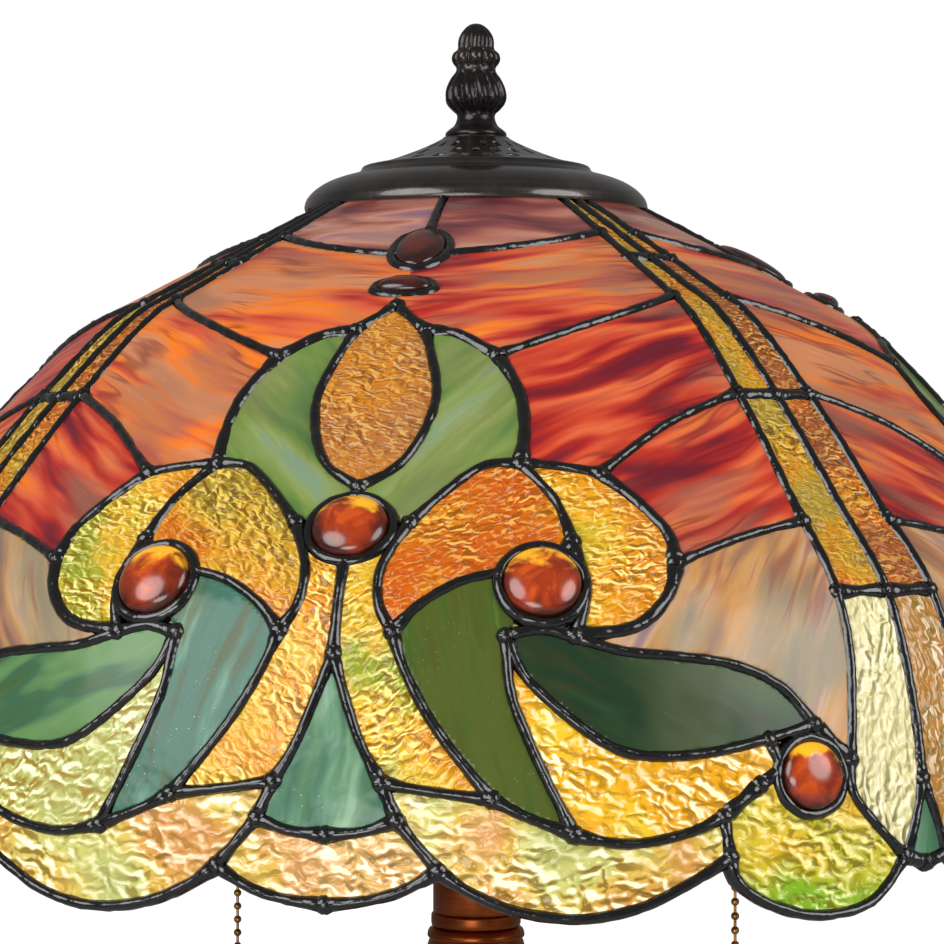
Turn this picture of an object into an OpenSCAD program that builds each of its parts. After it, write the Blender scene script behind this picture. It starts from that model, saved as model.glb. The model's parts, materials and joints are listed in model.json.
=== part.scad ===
/* [Shade] */
// Height of the shade's own zero line above the table
shade_level = 448; // [444:1:452]
// Thickness of the glass
glass_t = 2.6; // [2:0.2:3]
// Width of the metal between two pieces of glass
lead_w = 2.4; // [2:0.2:3]
// How far the metal stands proud of the glass on each side
lead_proud = 0.7; // [0.4:0.1:0.8]
// Angle that the pattern is turned from the front
panel_turn = -10.5; // [-45:0.5:45]
// Radius of the round cabochons
cabochon_r = 9.8; // [9:0.2:10]
// Radius of the cabochons in the rim
rim_cabochon_r = 8.4; // [8:0.2:8.6]
/* [Base and column] */
// Radius of the foot
base_r = 86; // [80:1:95]
// Radius of the column below its top ring
column_r = 15.2; // [14:0.2:16]
// Radius of the neck pipe above the top ring
neck_r = 13.4; // [12:0.2:13.6]
// Radius of the threaded rod through the lamp
rod_r = 5; // [4.5:0.1:5]
/* [Lights] */
// Distance of each socket from the middle
socket_out = 62; // [60:1:64]
// Angle of the line through both sockets
socket_turn = -26; // [-45:1:45]
// Widest radius of a bulb
bulb_r = 24; // [20:1:25]
// Distance between beads of a chain
bead_pitch = 4.3; // [4:0.1:4.6]
/* [Hidden] */
panels = 4;
socket_low = 376;
chain_out = 24.3;
fit = 0.04;
// Outer face of the glass from the cap to the rim, as [radius, height]
profile = [[46, 80.8], [101.6, 51.4], [122, 39.5], [147.5, 14], [169, -11], [186.5, -31.5],
    [196, -55], [202, -86], [203.5, -118]];

function shade_r(z, i = 0) = i >= len(profile) - 2 || z > profile[i + 1].y
    ? profile[i].x + (profile[i + 1].x - profile[i].x) * (profile[i].y - z)
        / (profile[i].y - profile[i + 1].y)
    : shade_r(z, i + 1);
function slope_at(z) = atan2(6, shade_r(z - 3) - shade_r(z + 3));
function reversed(p) = [for (i = [len(p) - 1:-1:0]) p[i]];
function across(p) = [for (q = p) [-q.x, q.y]];
function joined(parts) = [for (part = parts) each part];
function spaced(p) = [for (i = [0:len(p) - 1]) if (norm(p[i] - p[(i + 1) % len(p)]) > 0.3) p[i]];
// A smooth line through hand-set points, which keeps its two ends
function bend(p, n = 2) = [for (i = [0:len(p) - 2], k = [0:n - 1]) let (
        t = k / n, a = p[max(i - 1, 0)], b = p[i], c = p[i + 1], d = p[min(i + 2, len(p) - 1)])
    0.5 * (2 * b + (c - a) * t + (2 * a - 5 * b + 4 * c - d) * t * t
        + (3 * b - a - 3 * c + d) * t * t * t), p[len(p) - 1]];

// Lead lines of half a panel, as [angle from its middle, height]
vesica_top = bend([[0, 42.5], [4.4, 35.5]], 1);
vesica_low = bend([[4.4, 35.5], [6.3, 20], [5.6, 9], [3.4, -1], [0, -6.5]]);
lobe_top = bend([[4.4, 35.5], [8.5, 34], [12.9, 28.5]]);
lobe_side = bend([[12.9, 28.5], [15, 19], [15.3, 9.5], [14.6, -0.5]]);
curl_top = bend([[14.6, -0.5], [11.2, -1.2], [8, -7.3], [4.9, -15.5]]);
curl_inner = bend([[4.9, -15.5], [3.1, -26], [3.1, -35], [4.3, -42]]);
curl_low = bend([[4.3, -42], [6.2, -35.5], [9.2, -30], [12.6, -27.5], [15.6, -26], [18.4, -20]]);
divider = bend([[14.6, -0.5], [17.4, -10], [18.4, -20]]);
crescent_inner = bend([[18.4, -20], [19, -30], [18.6, -37], [17.8, -43]]);
crescent_top = bend([[14.6, -0.5], [18, -1.3], [21.8, -3]]);
crescent_outer = bend([[21.8, -3], [24.6, -10], [26.6, -18], [26.6, -25.5]]);
crescent_tip = bend([[26.6, -25.5], [25.2, -34], [22.4, -41], [17.8, -43]]);
leaf_root = bend([[12.7, -43], [15, -41.5], [17.8, -43]]);
leaf_top = bend([[17.8, -43], [21, -46.7], [25.2, -48.3], [29.4, -50.4], [33.2, -56], [35.8, -66]]);
leaf_low = bend([[12.7, -43], [14.2, -53.5], [18.3, -66], [21.5, -71.7], [26, -72.3],
    [30.5, -70], [35.8, -66]]);
blade_side = bend([[12.7, -43], [12.9, -55], [13.7, -64], [15.2, -76], [17.3, -91]]);
vee_outer = bend([[4.3, -42], [5.4, -52], [7.4, -64], [9.6, -74], [11.6, -82.3]]);
triangle_side = bend([[0, -47.5], [2.2, -68], [3.9, -78.5]]);
triangle_low = [[3.9, -78.5], [5, -87.5]];
triangle_base = bend([[5, -87.5], [2.6, -90.3], [0, -91.2]]);
vee_base = bend([[3.9, -78.5], [7.5, -80.5], [11.6, -82.3]]);
scallop_near = bend([[11.6, -82.3], [14, -86.5], [17.3, -91]]);
scallop_far = bend([[17.3, -91], [21, -93.4], [25, -91.5], [28.1, -87.5]]);
gold_end = [[28.1, -87.5], [31, -80], [32.5, -76], [32, -69.3]];
scallop_side = [[5, -87.5], [7.9, -99.5]];
rim_lobe_side = [[28.1, -87.5], [28.5, -97.5]];
rim_centre = bend([[7.9, -99.5], [5.3, -104.5], [2.7, -107], [0, -108]]);
rim_scallop = bend([[7.9, -99.5], [10.3, -105], [13.6, -109.5], [17.8, -111.3], [21.8, -109],
    [25.4, -103.5], [28.5, -97.5]]);
rim_lobe = bend([[28.5, -97.5], [29, -103.5], [31.5, -109.5], [35.5, -113], [39.8, -110.5],
    [42.9, -100]]);
strip_low = bend([[40, -15.5], [39.9, -45], [39.2, -62], [38.6, -75]]);
strip_tail = bend([[38.6, -75], [38.5, -83], [40.5, -92], [42.9, -100]]);
row_1 = bend([[0, 58], [11, 59.5], [25, 62.5], [40, 66.5]]);
row_2 = bend([[12.9, 28.5], [26, 38], [40, 46.3]]);
row_3 = bend([[21.8, -3], [30, 10], [40, 18.8]]);
row_4 = bend([[26.6, -25.5], [33, -19.5], [40, -15.5]]);

// Glass outlines of half a panel
top_pane = joined([[[0, 79.5], [20, 79.5], [40, 79.5]], reversed(row_1)]);
upper_pane = joined([row_1, reversed(row_2), reversed(lobe_top), reversed(vesica_top)]);
middle_pane = joined([row_2, reversed(row_3), reversed(crescent_top), reversed(lobe_side)]);
lower_pane = joined([row_3, reversed(row_4), reversed(crescent_outer)]);
mauve_pane = joined([row_4, strip_low, [[35.8, -66]], reversed(leaf_top), reversed(crescent_tip)]);
lobe_pane = joined([lobe_top, lobe_side, curl_top, [[2, -12]], reversed(vesica_low)]);
curl_pane = joined([curl_top, curl_inner, curl_low, reversed(divider)]);
crescent_pane = joined([crescent_top, crescent_outer, crescent_tip, reversed(crescent_inner),
    reversed(divider)]);
vee_pane = joined([[[0, -23]], [[0, -47.5]], triangle_side, vee_base, reversed(vee_outer),
    reversed(curl_inner), [[3, -20]]]);
blade_pane = joined([curl_low, [[15.6, -30]], blade_side, reversed(scallop_near),
    reversed(vee_outer)]);
leaf_pane = joined([leaf_root, leaf_top, reversed(leaf_low)]);
leaf_part = [for (q = leaf_low) if (q.x < 31.8) q];
gold_pane = joined([blade_side, scallop_far, gold_end, reversed(leaf_part)]);
scallop_pane = joined([vee_base, scallop_near, scallop_far, rim_lobe_side, reversed(rim_scallop),
    [[5, -87.5]]]);
rim_lobe_pane = joined([[[28.1, -87.5], [31, -80], [35.1, -78.5], [38.6, -83]], strip_tail,
    reversed(rim_lobe)]);
vesica_pane = joined([vesica_top, vesica_low, across(reversed(joined([vesica_top, vesica_low])))]);
triangle_pane = joined([triangle_side, triangle_low, triangle_base,
    across(reversed(joined([triangle_side, triangle_low, triangle_base])))]);
centre_scallop_pane = joined([scallop_side, rim_centre,
    across(reversed(joined([reversed(triangle_base), scallop_side, rim_centre])))]);
corner_pane = [[45, -81], [43.1, -100], [45, -102], [46.9, -100]];
strip_low_end = [for (q = strip_low) if (q.y < -33.4) q];
strip_foot_pane = joined([strip_low_end, strip_tail, [[45, -81], [45, -33.4], [40, -33.4]]]);
strip_levels = [79.5, 58.4, 18.2, -33.4];
function strip_pane(i) = [[40, strip_levels[i]], [45, strip_levels[i]], [45, strip_levels[i + 1]],
    [40, strip_levels[i + 1]]];
strip_panes = [for (i = [0:2]) strip_pane(i)];

// Jewels of a panel, as [angle, height, radius]
centre_jewel = [0, -17, cabochon_r];
side_jewel = [15.6, -30.5, cabochon_r];
rim_jewel = [35.1, -78.5, rim_cabochon_r];
oval_jewel = [0, 59.8, 0];
half_jewel = [0, 47.4, 1];
half_panel_panes = [top_pane, upper_pane, middle_pane, lower_pane, mauve_pane, lobe_pane, curl_pane,
    crescent_pane, vee_pane, blade_pane, leaf_pane, gold_pane, scallop_pane, rim_lobe_pane,
    strip_foot_pane, corner_pane, each strip_panes];
middle_panes = [vesica_pane, triangle_pane, centre_scallop_pane];
panel_jewels = [centre_jewel, side_jewel, flip(side_jewel), rim_jewel, flip(rim_jewel), oval_jewel,
    half_jewel];
function flip(j) = [-j.x, j.y, j.z];
function middle_angle(p) = let (a = [for (q = p) q.x]) (min(a) + max(a)) / 2;
function wall_point(i, d) = let (a = profile[max(i - 1, 0)], b = profile[min(i + 1, len(profile) - 1)],
    n = [a.y - b.y, b.x - a.x] / norm(b - a)) profile[i] + d * n;

module shell(inner, outer, half_span) {
    rotate([0, 0, -90 - half_span]) rotate_extrude(angle = 2 * half_span) polygon(concat(
        [for (i = [0:len(profile) - 1]) wall_point(i, outer)],
        [for (i = [len(profile) - 1:-1:0]) wall_point(i, inner)]));
}
module window(pane) {
    a = middle_angle(pane);
    rotate([0, 0, a]) rotate([90, 0, 0]) linear_extrude(240) offset(delta = -lead_w / 2)
        polygon(spaced([for (q = pane) [shade_r(q.y) * sin(q.x - a), q.y]]));
}
module jewel_outline(kind, gap) {
    if (kind > 1) circle(r = kind + gap);
    else if (kind == 0) polygon([for (t = [0:15:345]) [(6.9 + gap) * cos(t), (11.6 + gap) * sin(t)]]);
    else polygon([for (t = [0:15:345]) [(7.4 + gap) * cos(t), (sin(t) > 0 ? 5.8 : 3) * sin(t)
        + gap * sin(t)]]);
}
module at_face(place) {
    rotate([0, 0, place.x]) translate([0, -shade_r(place.y), place.y])
        rotate([slope_at(place.y), 0, 0]) children();
}
module jewel_hole(j, gap) {
    at_face(j) translate([0, 0, -glass_t - 4]) linear_extrude(glass_t + 9) jewel_outline(j.z, gap);
}
module pane_solid(pane, jewels) {
    difference() {
        intersection() {
            rotate([0, 0, middle_angle(pane)]) shell(-glass_t, 0, 30);
            window(pane);
        }
        for (j = jewels) jewel_hole(j, lead_w * 0.6);
    }
}
module both_sides(panes, jewels = []) {
    every_panel() for (pane = panes) {
        pane_solid(pane, jewels);
        pane_solid(across(pane), [for (j = jewels) flip(j)]);
    }
}
// Everything more than drop below one stretch of the rim, drawn from left to right
module rim_cut(line, drop) {
    a = middle_angle(line);
    ends = [line[0] - [0.3, 0], line[len(line) - 1] + [0.3, 0]];
    flat = [for (q = concat([ends[0]], line, [ends[1]]))
        [shade_r(q.y) * sin(q.x - a), q.y - drop]];
    low = [[flat[len(flat) - 1].x, -130], [flat[0].x, -130]];
    rotate([0, 0, a]) rotate([90, 0, 0]) linear_extrude(240) polygon(concat(flat, low));
}
module on_panel(i) {
    translate([0, 0, shade_level]) rotate([0, 0, panel_turn + i * 360 / panels]) children();
}
module every_panel() { for (i = [0:panels - 1]) on_panel(i) children(); }
module lead_panel(i) {
    color("#26221f") on_panel(i) difference() {
        union() {
            difference() {
                shell(-glass_t - lead_proud, lead_proud, 45);
                for (p = half_panel_panes) {
                    window(p);
                    window(across(p));
                }
                for (p = middle_panes) window(p);
            }
            for (j = panel_jewels) at_face(j) translate([0, 0, -glass_t]) linear_extrude(glass_t + 1.6)
                jewel_outline(j.z, lead_w * 0.6);
        }
        for (j = panel_jewels) jewel_hole(j, 0);
        rim_cut(centre_rim, lead_w + 0.3);
        for (cut = [[rim_scallop, 0], [rim_lobe, 0.2], [[[42.7, -100.4], [46, -101]], 0.1]]) {
            rim_cut(cut[0], lead_w + cut[1]);
            rim_cut(across(reversed(cut[0])), lead_w + cut[1]);
        }
    }
}
module lead_panel_1() { lead_panel(0); }
module lead_panel_2() { lead_panel(1); }
module lead_panel_3() { lead_panel(2); }
module lead_panel_4() { lead_panel(3); }
centre_rim = concat(across(rim_centre), reversed([for (i = [0:len(rim_centre) - 2]) rim_centre[i]]));
// Parts the left and right panes that meet on a panel's middle line
module parted() {
    difference() {
        children();
        every_panel() translate([-lead_w / 2, -140, 0]) cube([lead_w, 140, 100]);
    }
}
module top_glass() { color("#c9908a") parted() both_sides([top_pane], [oval_jewel]); }
module sunset_glass() {
    color("#c0452c") parted() both_sides([upper_pane], [oval_jewel, half_jewel]);
    color("#c0452c") both_sides([middle_pane, lower_pane]);
}
module mauve_glass() { color("#a9836c") both_sides([mauve_pane], [rim_jewel]); }
module lobe_glass() { color("#5f8f6a") both_sides([lobe_pane], [centre_jewel]); }
module vesica_glass() { color("#b8862f") every_panel() pane_solid(vesica_pane, []); }
module curl_glass() { color("#d08f2c") both_sides([curl_pane], [centre_jewel, side_jewel]); }
module crescent_glass() { color("#c9a83a") both_sides([crescent_pane], [side_jewel]); }
module vee_glass() { color("#e0b23c") both_sides([vee_pane], [centre_jewel]); }
module triangle_glass() { color("#4f8177") every_panel() pane_solid(triangle_pane, []); }
module blade_glass() { color("#4c7f6e") both_sides([blade_pane], [side_jewel]); }
module leaf_glass() { color("#3f7048") both_sides([leaf_pane], [side_jewel]); }
module gold_glass() { color("#e2c860") both_sides([gold_pane], [rim_jewel]); }
module scallop_glass() {
    color("#dfc88a") both_sides([scallop_pane]);
    color("#dfc88a") every_panel() pane_solid(centre_scallop_pane, []);
}
module rim_lobe_glass() { color("#d8cf4a") both_sides([rim_lobe_pane], [rim_jewel]); }
module strip_glass() { color("#c98f3a") both_sides(strip_panes); }
module strip_foot_glass() { color("#b7c08c") both_sides([strip_foot_pane], [rim_jewel]); }
module corner_glass() { color("#3f8073") every_panel() pane_solid(corner_pane, []); }
// A polished dome on a short straight skirt
module cabochon(r) {
    dome = 0.42 * r;
    ball = (r * r + dome * dome) / (2 * dome);
    translate([0, 0, -glass_t]) cylinder(r = r, h = glass_t + 1);
    intersection() {
        translate([0, 0, 1 + dome - ball]) sphere(r = ball);
        translate([0, 0, 1]) cylinder(r = r, h = dome);
    }
}
module centre_cabochons() { color("#c8471c") every_panel() at_face(centre_jewel) cabochon(cabochon_r); }
module side_cabochons() {
    color("#c8471c") every_panel() for (j = [side_jewel, flip(side_jewel)])
        at_face(j) cabochon(cabochon_r);
}
module rim_cabochons() {
    color("#c8471c") every_panel() for (j = [rim_jewel, flip(rim_jewel)])
        at_face(j) cabochon(rim_cabochon_r);
}
module top_jewels() {
    color("#4a1418") every_panel() for (j = [oval_jewel, half_jewel])
        at_face(j) translate([0, 0, -glass_t]) linear_extrude(glass_t + 3) jewel_outline(j.z, 0);
}

module turned(outline) { rotate_extrude($fn = 96) polygon(outline); }
module ring(r_out, r_in, low, high) {
    translate([0, 0, low]) difference() {
        cylinder(r = r_out, h = high - low, $fn = 64);
        translate([0, 0, -1]) cylinder(r = r_in, h = high - low + 2, $fn = 64);
    }
}
module nut(across_flats, r_in, low, high) {
    translate([0, 0, low]) difference() {
        cylinder(r = across_flats / sqrt(3), h = high - low, $fn = 6);
        translate([0, 0, -1]) cylinder(r = r_in, h = high - low + 2, $fn = 64);
    }
}
module felt_pad() { color("#2f3a2e") ring(base_r - 4, 30, 0, 2); }
module base_casting() {
    color("#6b4630") difference() {
        turned([[0, 2], [base_r - 3, 2], [base_r, 5], [base_r, 9], [base_r - 5, 13],
            [base_r - 11, 14.5], [base_r - 14, 18], [base_r - 30, 25], [40, 33], [30, 42],
            [25, 52], [0, 52]]);
        turned([[0, 1], [base_r - 9, 1], [base_r - 9, 8], [base_r - 18, 12], [base_r - 36, 20],
            [34, 28], [22, 38], [22, 44], [0, 44]]);
        cylinder(r = rod_r + fit, h = 60, $fn = 64);
        translate([0, base_r - 14, 7.5]) rotate([-90, 0, 0]) cylinder(r = 3.2, h = 20, $fn = 48);
    }
}
module base_weight() { color("#4a4a4c") ring(60, 16, 3.2, 13); }
module base_washer() { color("#9a9a98") ring(14, rod_r + fit, 40, 44); }
module rod_nuts() {
    for (low = [34, 382, 512]) color("#b9a26a") nut(14, rod_r + fit, low, low + 6);
}
module cord_bushing() {
    color("#1d1b1a") translate([0, base_r - 10, 7.5]) rotate([-90, 0, 0]) difference() {
        union() {
            cylinder(r = 3.2, h = 10.5, $fn = 48);
            translate([0, 0, 10]) cylinder(r = 4.4, h = 2, $fn = 48);
        }
        translate([0, 0, -1]) cylinder(r = 2.4, h = 20, $fn = 48);
    }
}
module tie_rod() {
    color("#b9a26a") difference() {
        union() {
            translate([0, 0, 31]) cylinder(r = rod_r, h = 493, $fn = 64);
            translate([0, 0, 524]) cylinder(r = 3, h = 34, $fn = 64);
        }
        translate([0, 0, 30]) cylinder(r = 3.2, h = 482, $fn = 64);
    }
}
module column_foot_ring() {
    color("#5f3f2c") turned([[rod_r + fit, 52], [24, 52], [26, 54], [26, 57], [23, 60],
        [rod_r + fit, 60]]);
}
module column_vase() {
    color("#744c33") turned([[12, 60], [19, 60], [23.5, 66], [27, 76], [27.4, 88], [25, 104],
        [20, 124], [16, 140], [15, 150], [11, 150], [12, 138], [20, 104], [23, 84], [19, 68], [12, 66]]);
}
module column_middle_ring() {
    color("#5f3f2c") turned([[rod_r + fit, 150], [18, 150], [20.5, 152.5], [20.5, 156], [18, 160],
        [rod_r + fit, 160]]);
}
module column_shaft() {
    color("#7a5036") turned([[10, 160], [13, 160], [13, 240], [14, 262], [column_r, 272],
        [column_r, 297], [column_r - 0.8, 299.5], [column_r, 300], [column_r, 301],
        [column_r - 0.6, 302.3], [column_r - 2, 303], [10, 303]]);
}
module column_top_ring() {
    color("#5f3f2c") turned([[rod_r + fit, 303], [13.2, 303], [14, 303.6], [14, 306.6], [13.6, 307.3],
        [rod_r + fit, 307.3]]);
}
module neck_pipe() { color("#7a5036") ring(neck_r, neck_r - 2, 307.3, 345); }
module socket_side(side) { rotate([0, 0, socket_turn + (side > 0 ? 0 : 180)]) children(); }
module both_sockets() { for (side = [1, -1]) socket_side(side) children(); }
module cluster_body() {
    color("#6b4630") difference() {
        turned([[rod_r + fit, 345], [14, 345], [20, 350], [21, 356], [21, 374], [19, 374], [19, 357],
            [18, 352], [13, 348], [rod_r + fit, 348]]);
        both_sockets() translate([10, 0, 362]) rotate([0, 90, 0]) cylinder(r = 4.6, h = 20, $fn = 48);
    }
}
module cluster_cover() {
    color("#6b4630") turned([[rod_r + fit, 374], [22, 374], [22, 376], [17, 380], [8, 382],
        [rod_r + fit, 382]]);
}
module socket_arms() {
    elbow = 12;
    color("#b08d4f") both_sockets() difference() {
        union() {
            translate([16, 0, 362]) rotate([0, 90, 0])
                cylinder(r = 4.6, h = socket_out - elbow - 16, $fn = 48);
            translate([socket_out - elbow, 0, 362 + elbow]) rotate([90, 0, 0]) rotate([0, 0, -90])
                rotate_extrude(angle = 90, $fn = 64) translate([elbow, 0]) circle(r = 4.6, $fn = 48);
            translate([socket_out, 0, 362 + elbow]) cylinder(r = 4.6, h = 5, $fn = 48);
        }
        translate([15, 0, 362]) rotate([0, 90, 0])
            cylinder(r = 3.2, h = socket_out - elbow - 15, $fn = 48);
        translate([socket_out - elbow, 0, 362 + elbow]) rotate([90, 0, 0]) rotate([0, 0, -90])
            rotate_extrude(angle = 90, $fn = 64) translate([elbow, 0]) circle(r = 3.2, $fn = 48);
        translate([socket_out, 0, 362 + elbow]) cylinder(r = 3.2, h = 6, $fn = 48);
    }
}
module in_socket() { both_sockets() translate([socket_out, 0, socket_low]) children(); }
module socket_caps() {
    color("#b58a4a") in_socket() difference() {
        turned([[4.6, 0], [8, 0], [14, 3], [18, 8], [19.4, 14], [18.4, 14], [17, 9], [13, 4.4], [8, 1.4],
            [4.6, 1.4]]);
        cylinder(r = 4.62, h = 20, $fn = 48);
    }
}
module socket_shells() {
    color("#b58a4a") in_socket() difference() {
        ring(19.6, 18.8, 14, 48);
        translate([15, 0, 21]) rotate([0, 90, 0]) cylinder(r = 3.2, h = 10, $fn = 48);
    }
}
module socket_cores() {
    color("#e5e0d2") in_socket() difference() {
        translate([0, 0, 14.2]) cylinder(r = 16.5, h = 14.8, $fn = 64);
        translate([6.5, 5, 21]) rotate([90, 0, 0]) cylinder(r = 7.2, h = 10, $fn = 48);
        translate([4, -1.6, 19.4]) cube([16, 3.2, 3.2]);
        translate([0, 0, 10]) cylinder(r = 2.2, h = 8, $fn = 32);
    }
}
module screw_shells() { color("#c9a35a") in_socket() ring(14, 13.4, 29, 46); }
module chain_guides() {
    color("#b58a4a") in_socket() difference() {
        union() {
            translate([18.8, 0, 21]) rotate([0, 90, 0])
                cylinder(r = 3.2, h = chain_out - 18.8, $fn = 48);
            translate([chain_out, 0, 21]) sphere(r = 3.2, $fn = 48);
            translate([chain_out, 0, 14]) cylinder(r1 = 4, r2 = 3.2, h = 7, $fn = 48);
        }
        translate([17, 0, 21]) rotate([0, 90, 0]) cylinder(r = 2, h = chain_out - 17, $fn = 48);
        translate([chain_out, 0, 21]) sphere(r = 2, $fn = 48);
        translate([chain_out, 0, 13]) cylinder(r1 = 3.1, r2 = 2, h = 8, $fn = 48);
    }
}
module switch_drum(side) {
    color("#d8b25a") socket_side(side) translate([socket_out + 6.5, 0, socket_low + 21])
        rotate([90, 0, 0]) translate([0, 0, -4]) difference() {
            cylinder(r = 6, h = 8, $fn = 64);
            for (i = [0:3]) rotate([0, 0, i * 90 + 45]) translate([4, 0, -1])
                cylinder(r = 1, h = 10, $fn = 24);
        }
}
module switch_drum_left() { switch_drum(-1); }
module switch_drum_right() { switch_drum(1); }
// A run of beads down a thin wire
module beads(count) {
    for (i = [0:count - 1]) translate([0, 0, -i * bead_pitch]) sphere(r = 1.25, $fn = 24);
    wire = (count - 1) * bead_pitch;
    translate([0, 0, -wire]) cylinder(r = 0.45, h = wire, $fn = 16);
}
module at_chain(side, height) {
    socket_side(side) translate([socket_out + chain_out, 0, height]) children();
}
module chain_head(side) { color("#a98544") at_chain(side, socket_low + 20.4) beads(2); }
module chain_head_left() { chain_head(-1); }
module chain_head_right() { chain_head(1); }
module pull_chain(side) {
    count = 28;
    bell = -(count - 1) * bead_pitch;
    color("#a98544") at_chain(side, socket_low + 13.2) {
        beads(count);
        translate([0, 0, bell - 8]) turned([[0, 0], [3.4, 0], [3.4, 1.2], [2.6, 4], [1.2, 7.2], [0, 8]]);
    }
}
module chain_left() { pull_chain(-1); }
module chain_right() { pull_chain(1); }
module bulb_place(side) { socket_side(side) translate([socket_out, 0, socket_low]) children(); }
module bulb_glass(side) {
    color("#f6f1e2") bulb_place(side) turned([[0, 50], [12.6, 50], [13.4, 56], [18, 68],
        [bulb_r - 1.5, 80], [bulb_r, 90], [bulb_r - 2, 101], [17, 111], [9, 117], [0, 119]]);
}
module bulb_glass_left() { bulb_glass(-1); }
module bulb_glass_right() { bulb_glass(1); }
module bulb_cap(side) {
    color("#b9b9b4") bulb_place(side) turned([[0, 29.5], [4.5, 29.5], [6, 31], [12, 33], [13, 34],
        [13, 50], [0, 50]]);
}
module bulb_cap_left() { bulb_cap(-1); }
module bulb_cap_right() { bulb_cap(1); }
module shade_wheel() {
    color("#8a6b3c") difference() {
        union() {
            ring(44.2, 41, 521, 524.6);
            ring(11, 3, 518, 524);
            for (a = [0:90:270]) rotate([0, 0, a]) translate([9, -2.5, 521]) cube([34, 5, 3]);
        }
        translate([0, 0, 510]) cylinder(r = rod_r + fit, h = 14, $fn = 64);
    }
}
module vented_cap() {
    rows = [[15, 24], [21, 24], [27.5, 24]];
    color("#34302b") difference() {
        turned([[3 + fit, 549], [9.6, 549], [11, 547.6], [16, 545.2], [24, 542.6], [34.6, 540.6],
            [35.6, 540.2], [36, 538], [46, 535], [51, 532.4], [53.2, 529.6], [53.6, 527],
            [53.4, 525.9], [52.2, 525.9], [52.3, 527], [51.8, 529], [49.9, 531.2], [45.6, 533.6],
            [34.8, 536.8], [34.2, 539], [23.6, 541.2], [15.4, 543.9], [10.4, 546.3], [8.6, 547.6],
            [3 + fit, 547.6]]);
        for (k = [0:2], i = [0:rows[k].y - 1]) if (i % 6 != 5 - k)
            rotate([0, 0, (i + k / 2) * 360 / rows[k].y]) translate([rows[k].x, -0.8, 539])
                cube([4.2, 1.6, 9]);
    }
}
module finial() {
    color("#2c2622") difference() {
        turned([[0, 549.3], [9.5, 549.3], [9.5, 550.4], [8, 552], [6, 555], [6.2, 556.6], [9, 559.4],
            [9.8, 562], [9, 566], [6.3, 569.4], [6.2, 570.8], [7.6, 573], [7.4, 574.6], [5.9, 576.6],
            [5.6, 579], [3.8, 582.4], [1.6, 584.2], [0, 584.6]]);
        translate([0, 0, 548]) cylinder(r = 3 + fit, h = 10.6, $fn = 64);
    }
}

felt_pad();
base_casting();
base_weight();
base_washer();
rod_nuts();
cord_bushing();
tie_rod();
column_foot_ring();
column_vase();
column_middle_ring();
column_shaft();
column_top_ring();
neck_pipe();
cluster_body();
cluster_cover();
socket_arms();
socket_caps();
socket_shells();
socket_cores();
screw_shells();
chain_guides();
switch_drum_left();
switch_drum_right();
chain_head_left();
chain_head_right();
chain_left();
chain_right();
bulb_glass_left();
bulb_glass_right();
bulb_cap_left();
bulb_cap_right();
shade_wheel();
vented_cap();
finial();
lead_panel_1();
lead_panel_2();
lead_panel_3();
lead_panel_4();
top_glass();
sunset_glass();
mauve_glass();
lobe_glass();
vesica_glass();
curl_glass();
crescent_glass();
vee_glass();
triangle_glass();
blade_glass();
leaf_glass();
gold_glass();
scallop_glass();
rim_lobe_glass();
strip_glass();
strip_foot_glass();
corner_glass();
centre_cabochons();
side_cabochons();
rim_cabochons();
top_jewels();
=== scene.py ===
# %% [markdown]
# # A leaded glass table lamp
# This lesson dresses a measured lamp. The measured model brings every part in metres, with the
# table at z = 0 and the front towards -Y, and each part already belongs to a body that can move.
# We keep that frame as it is, and lay finished surfaces and materials over it.

# %% Load the measured frame
import json

import bpy
import numpy as np
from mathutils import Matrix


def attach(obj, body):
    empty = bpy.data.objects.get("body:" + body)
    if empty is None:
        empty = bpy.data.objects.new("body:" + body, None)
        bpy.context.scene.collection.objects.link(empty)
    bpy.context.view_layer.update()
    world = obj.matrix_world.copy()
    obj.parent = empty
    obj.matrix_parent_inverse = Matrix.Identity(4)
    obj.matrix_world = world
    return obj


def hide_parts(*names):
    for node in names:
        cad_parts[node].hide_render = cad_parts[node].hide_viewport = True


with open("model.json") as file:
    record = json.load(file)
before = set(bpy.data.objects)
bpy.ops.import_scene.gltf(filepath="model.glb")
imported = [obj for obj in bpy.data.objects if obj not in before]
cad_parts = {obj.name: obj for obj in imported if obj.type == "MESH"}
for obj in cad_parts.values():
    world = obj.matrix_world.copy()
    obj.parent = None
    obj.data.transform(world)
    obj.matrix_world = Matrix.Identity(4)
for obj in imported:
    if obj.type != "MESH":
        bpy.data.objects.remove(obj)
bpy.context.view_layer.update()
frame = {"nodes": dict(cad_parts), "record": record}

# %% [markdown]
# ## The camera and the light
# The lamp is looked at level, from nearly a metre away, with a long lens, so the shade keeps its
# shape and the dome is seen from just above its middle. A camera could also be aimed by a tracking
# constraint. Plain numbers are simpler here, because the view is level and straight.

# %% Place the camera
camera = bpy.data.objects.new("camera", bpy.data.cameras.new("camera"))
camera.location = (0, -0.906, 0.448)
camera.rotation_euler = (np.pi / 2, 0, 0)
camera.data.sensor_width = 36
camera.data.lens = 110.6
camera.data.shift_x, camera.data.shift_y = -0.0042373, -0.0116525
bpy.context.scene.collection.objects.link(camera)
bpy.context.scene.camera = camera
bpy.context.scene.view_settings.view_transform = "Standard"
print("camera at", tuple(camera.location), "lens", camera.data.lens)

# %% [markdown]
# Glass and polished solder look like what surrounds them. The room is pure white to look at, but
# lends the lamp only part of that light, as a white wall some way behind it would, so colours stay
# deep. A few large soft lamps make the broad highlights. Small hard ones would leave sharp dots.

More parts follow.
